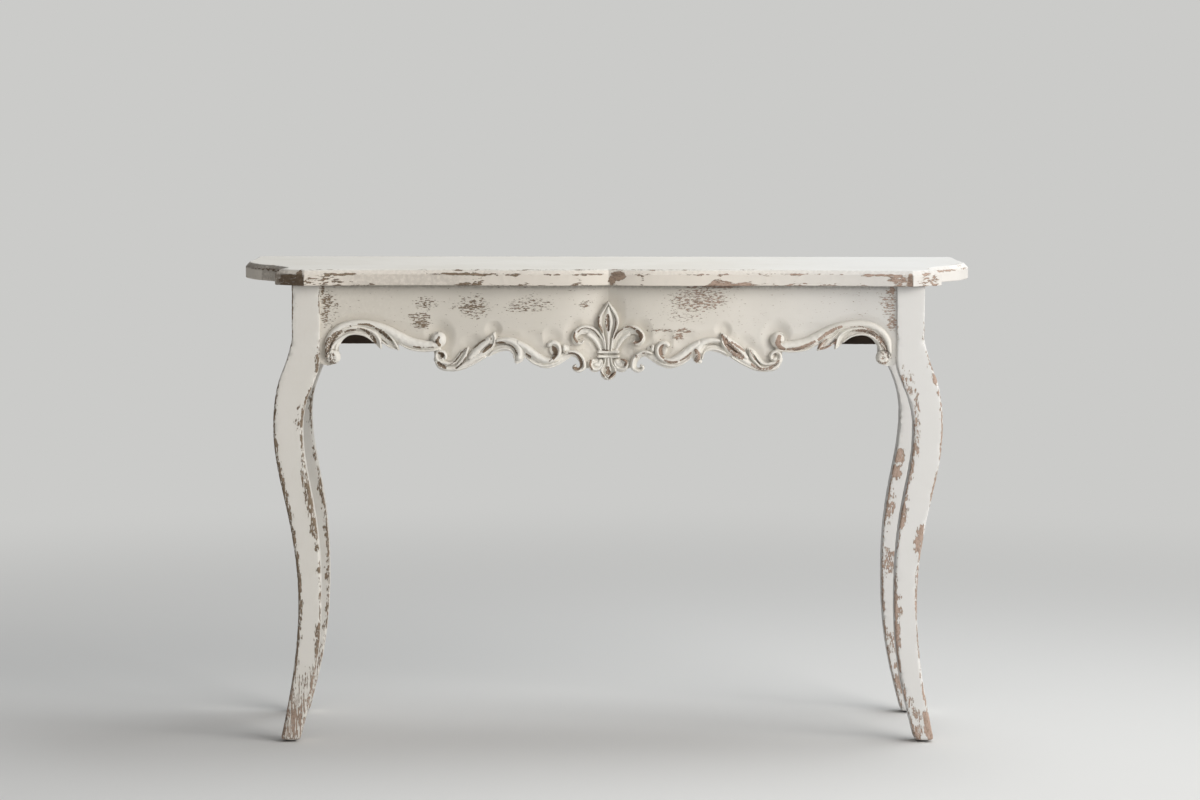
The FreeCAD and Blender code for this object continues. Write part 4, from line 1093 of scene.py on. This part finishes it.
def make_carving(name, node, drawing, side, mirrored=False, neighbour=()):
    """Relief on the apron's face, closed at the back, and cut by the neighbour's base strokes."""
    strokes = all_strokes(drawing, mirrored)
    x, drop, width = np.array([point for part, _, points in strokes if part == "base" for point in points]).T
    x0, x1 = (x - width).min() - 2, (x + width).max() + 2
    drops = np.arange((drop - width).min() - 2, (drop + width).max() + 2, CARVING_STEP)
    gx, gd = np.meshgrid(np.arange(x0, x1, CARVING_STEP), drops, indexing="ij")
    height, outline, cut, crest = relief(gx, gd, strokes)
    for _, points in neighbour:
        outline = np.maximum(outline, SEAM - spread(gx, gd, points)[1])
    keep, need = cells_inside(outline)

    # Points just outside the outline are drawn onto it, and lie flat there.
    rim = need & (outline >= 0)
    slope_x, slope_d = np.gradient(outline, CARVING_STEP)
    size = np.maximum(np.hypot(slope_x, slope_d), 0.3)
    shift = np.clip(outline / size, -CARVING_STEP, 1.3 * CARVING_STEP) / size
    px, pd = (gx - np.where(rim, shift * slope_x, 0))[need], (gd - np.where(rim, shift * slope_d, 0))[need]
    height[rim] = RIM_HEIGHT

    face_y = serpentine_y(px * MM) + APRON_SETBACK
    front = np.column_stack([side * px * MM, face_y - height[need] * MM, UNDER_TOP - pd * MM])
    back = front.copy()
    back[:, 1] = face_y + ground_depth(np.abs(px), pd) * MM
    number = np.full(gx.shape, -1)
    number[need] = np.arange(len(front))
    faces = sheet_faces(number, keep, flip=side < 0)

    wear = np.maximum(0.12 * crest ** 4, carving_wear(gx, gd, x0, x1, side))
    # Darker in the valleys and along the outline as painted shade, and in the cuts as dark glaze with painted
    # shade.
    valley = np.clip(1 - crest * 3, 0, 1)
    near_rim = 1 - step_up(0.0, 1.2, -outline)
    painted_shade_and_glaze = np.clip(0.16 * valley + 0.38 * np.clip(cut / 4, 0, 1) + 0.04 * near_rim, 0, 1)
    wear = np.append(wear[need], np.full(len(front), 0.1))
    painted_shade_and_glaze = np.append(painted_shade_and_glaze[need], np.full(len(front), 0.2))
    make_piece(name, np.vstack([front, back]), faces, carving_paint_with_light, [node], wear, painted_shade_and_glaze)


def make_carvings():
    order = [("end_arch_scroll", ARCH), ("leaf_scroll", LEAF), ("wave_scroll", WAVE), ("inner_scroll", INNER)]
    for name, side in SIDES:
        neighbour = ()
        for node, drawing in order:
            make_carving(node + "_carved_" + name, node + "_" + name, drawing, side, neighbour=neighbour)
            neighbour = drawing["base"]
    make_carving("fleur_de_lis_carved", "fleur_de_lis", FLEUR, 1, mirrored=True)


# ---- room, light and camera ----
def seen_directly(n):
    """1 for rays from the camera, mirrors and glass, 0 for the light on the object."""
    path = n.add("ShaderNodeLightPath")
    total = path.outputs["Is Camera Ray"]
    for kind in ("Is Glossy Ray", "Is Transmission Ray"):
        total = n.math("MAXIMUM", total, path.outputs[kind])
    return total


FADE_FROM, FADE_TO = 0.9, 3.4  # distances from the middle of the table
CAMERA_PLACE = (-0.0985, -7.9847, 1.3083)
PITCH, YAW, ROLL = math.radians(5.331), math.radians(0.620), math.radians(0.121)


def make_floor():
    """Wide plain floor. Far from the table the camera sees it fade into the background."""
    reach = 60.0
    mesh = bpy.data.meshes.new("floor")
    corners = [(-reach, -reach, 0), (reach, -reach, 0), (reach, reach, 0), (-reach, reach, 0)]
    mesh.from_pydata(corners, [], [(0, 1, 2, 3)])
    material = bpy.data.materials.new("floor")
    n = Nodes(material)
    n.fill(n.shader, {"Base Color": FLOOR, "Roughness": 0.9, "Specular IOR Level": 0.1})
    distance = n.add("ShaderNodeVectorMath", {0: n.place}, operation="LENGTH").outputs["Value"]
    fade = n.math("MULTIPLY", n.ramp(distance, FADE_FROM, FADE_TO), seen_directly(n))
    n.surface("Material Output", fade, n.shader, n.add("ShaderNodeEmission", {"Color": BACKGROUND}))
    mesh.materials.append(material)
    piece = add_object("floor", mesh)


def area_lamp(name, place, target, size, power, color=(1, 1, 1)):
    data = bpy.data.lights.new(name, "AREA")
    data.shape, data.size, data.size_y = "RECTANGLE", size[0], size[1]
    data.energy, data.color = power, color
    lamp = add_object(name, data)
    lamp.location = place
    lamp.rotation_euler = (Vector(target) - Vector(place)).to_track_quat("-Z", "Y").to_euler()


def world_light(left, right):
    """Soft light from all round, weaker from the left, which the camera sees as plain grey."""
    world = bpy.data.worlds.new("studio")
    bpy.context.scene.world = world
    n = Nodes(world, "Generated")
    lit = n.tree.nodes["Background"]
    n.fill(lit, {"Color": SKY, "Strength": n.ramp(n.along("X"), -1, 1, left, right, "LINEAR")})
    n.surface("World Output", seen_directly(n), lit, n.add("ShaderNodeBackground", {"Color": BACKGROUND}))


def make_camera():
    """The photograph's camera, as fitted to it."""
    data = bpy.data.cameras.new("photo_camera")
    data.sensor_width, data.lens, data.clip_end = 36.0, 141.0, 60
    camera = add_object("photo_camera", data)
    turn = Euler((math.pi / 2 - PITCH, 0, -YAW)).to_matrix() @ Matrix.Rotation(ROLL, 3, "Z")
    camera.matrix_world = Matrix.Translation(CAMERA_PLACE) @ turn.to_4x4()
    bpy.context.scene.camera = camera


dress_cad_nodes()
make_top_board()
make_legs()
make_front_apron()
make_plain_aprons()
make_carvings()
make_floor()
world_light(0.04, 0.66)
area_lamp("key", (3.0, -2.8, 2.3), (0.1, 0, 0.5), (3.2, 2.8), 127, (1.0, 0.985, 0.96))
area_lamp("overhead", (1.0, 0.5, 3.0), (0.15, 0, 0.8), (2.2, 1.2), 39, (0.92, 0.97, 1.0))
area_lamp("fill", (-1.0, -5.2, 1.8), (0, 0, 0.5), (2.5, 2.5), 12)
make_camera()
bpy.context.scene.view_settings.view_transform = "Standard"

bpy.context.view_layer.update()
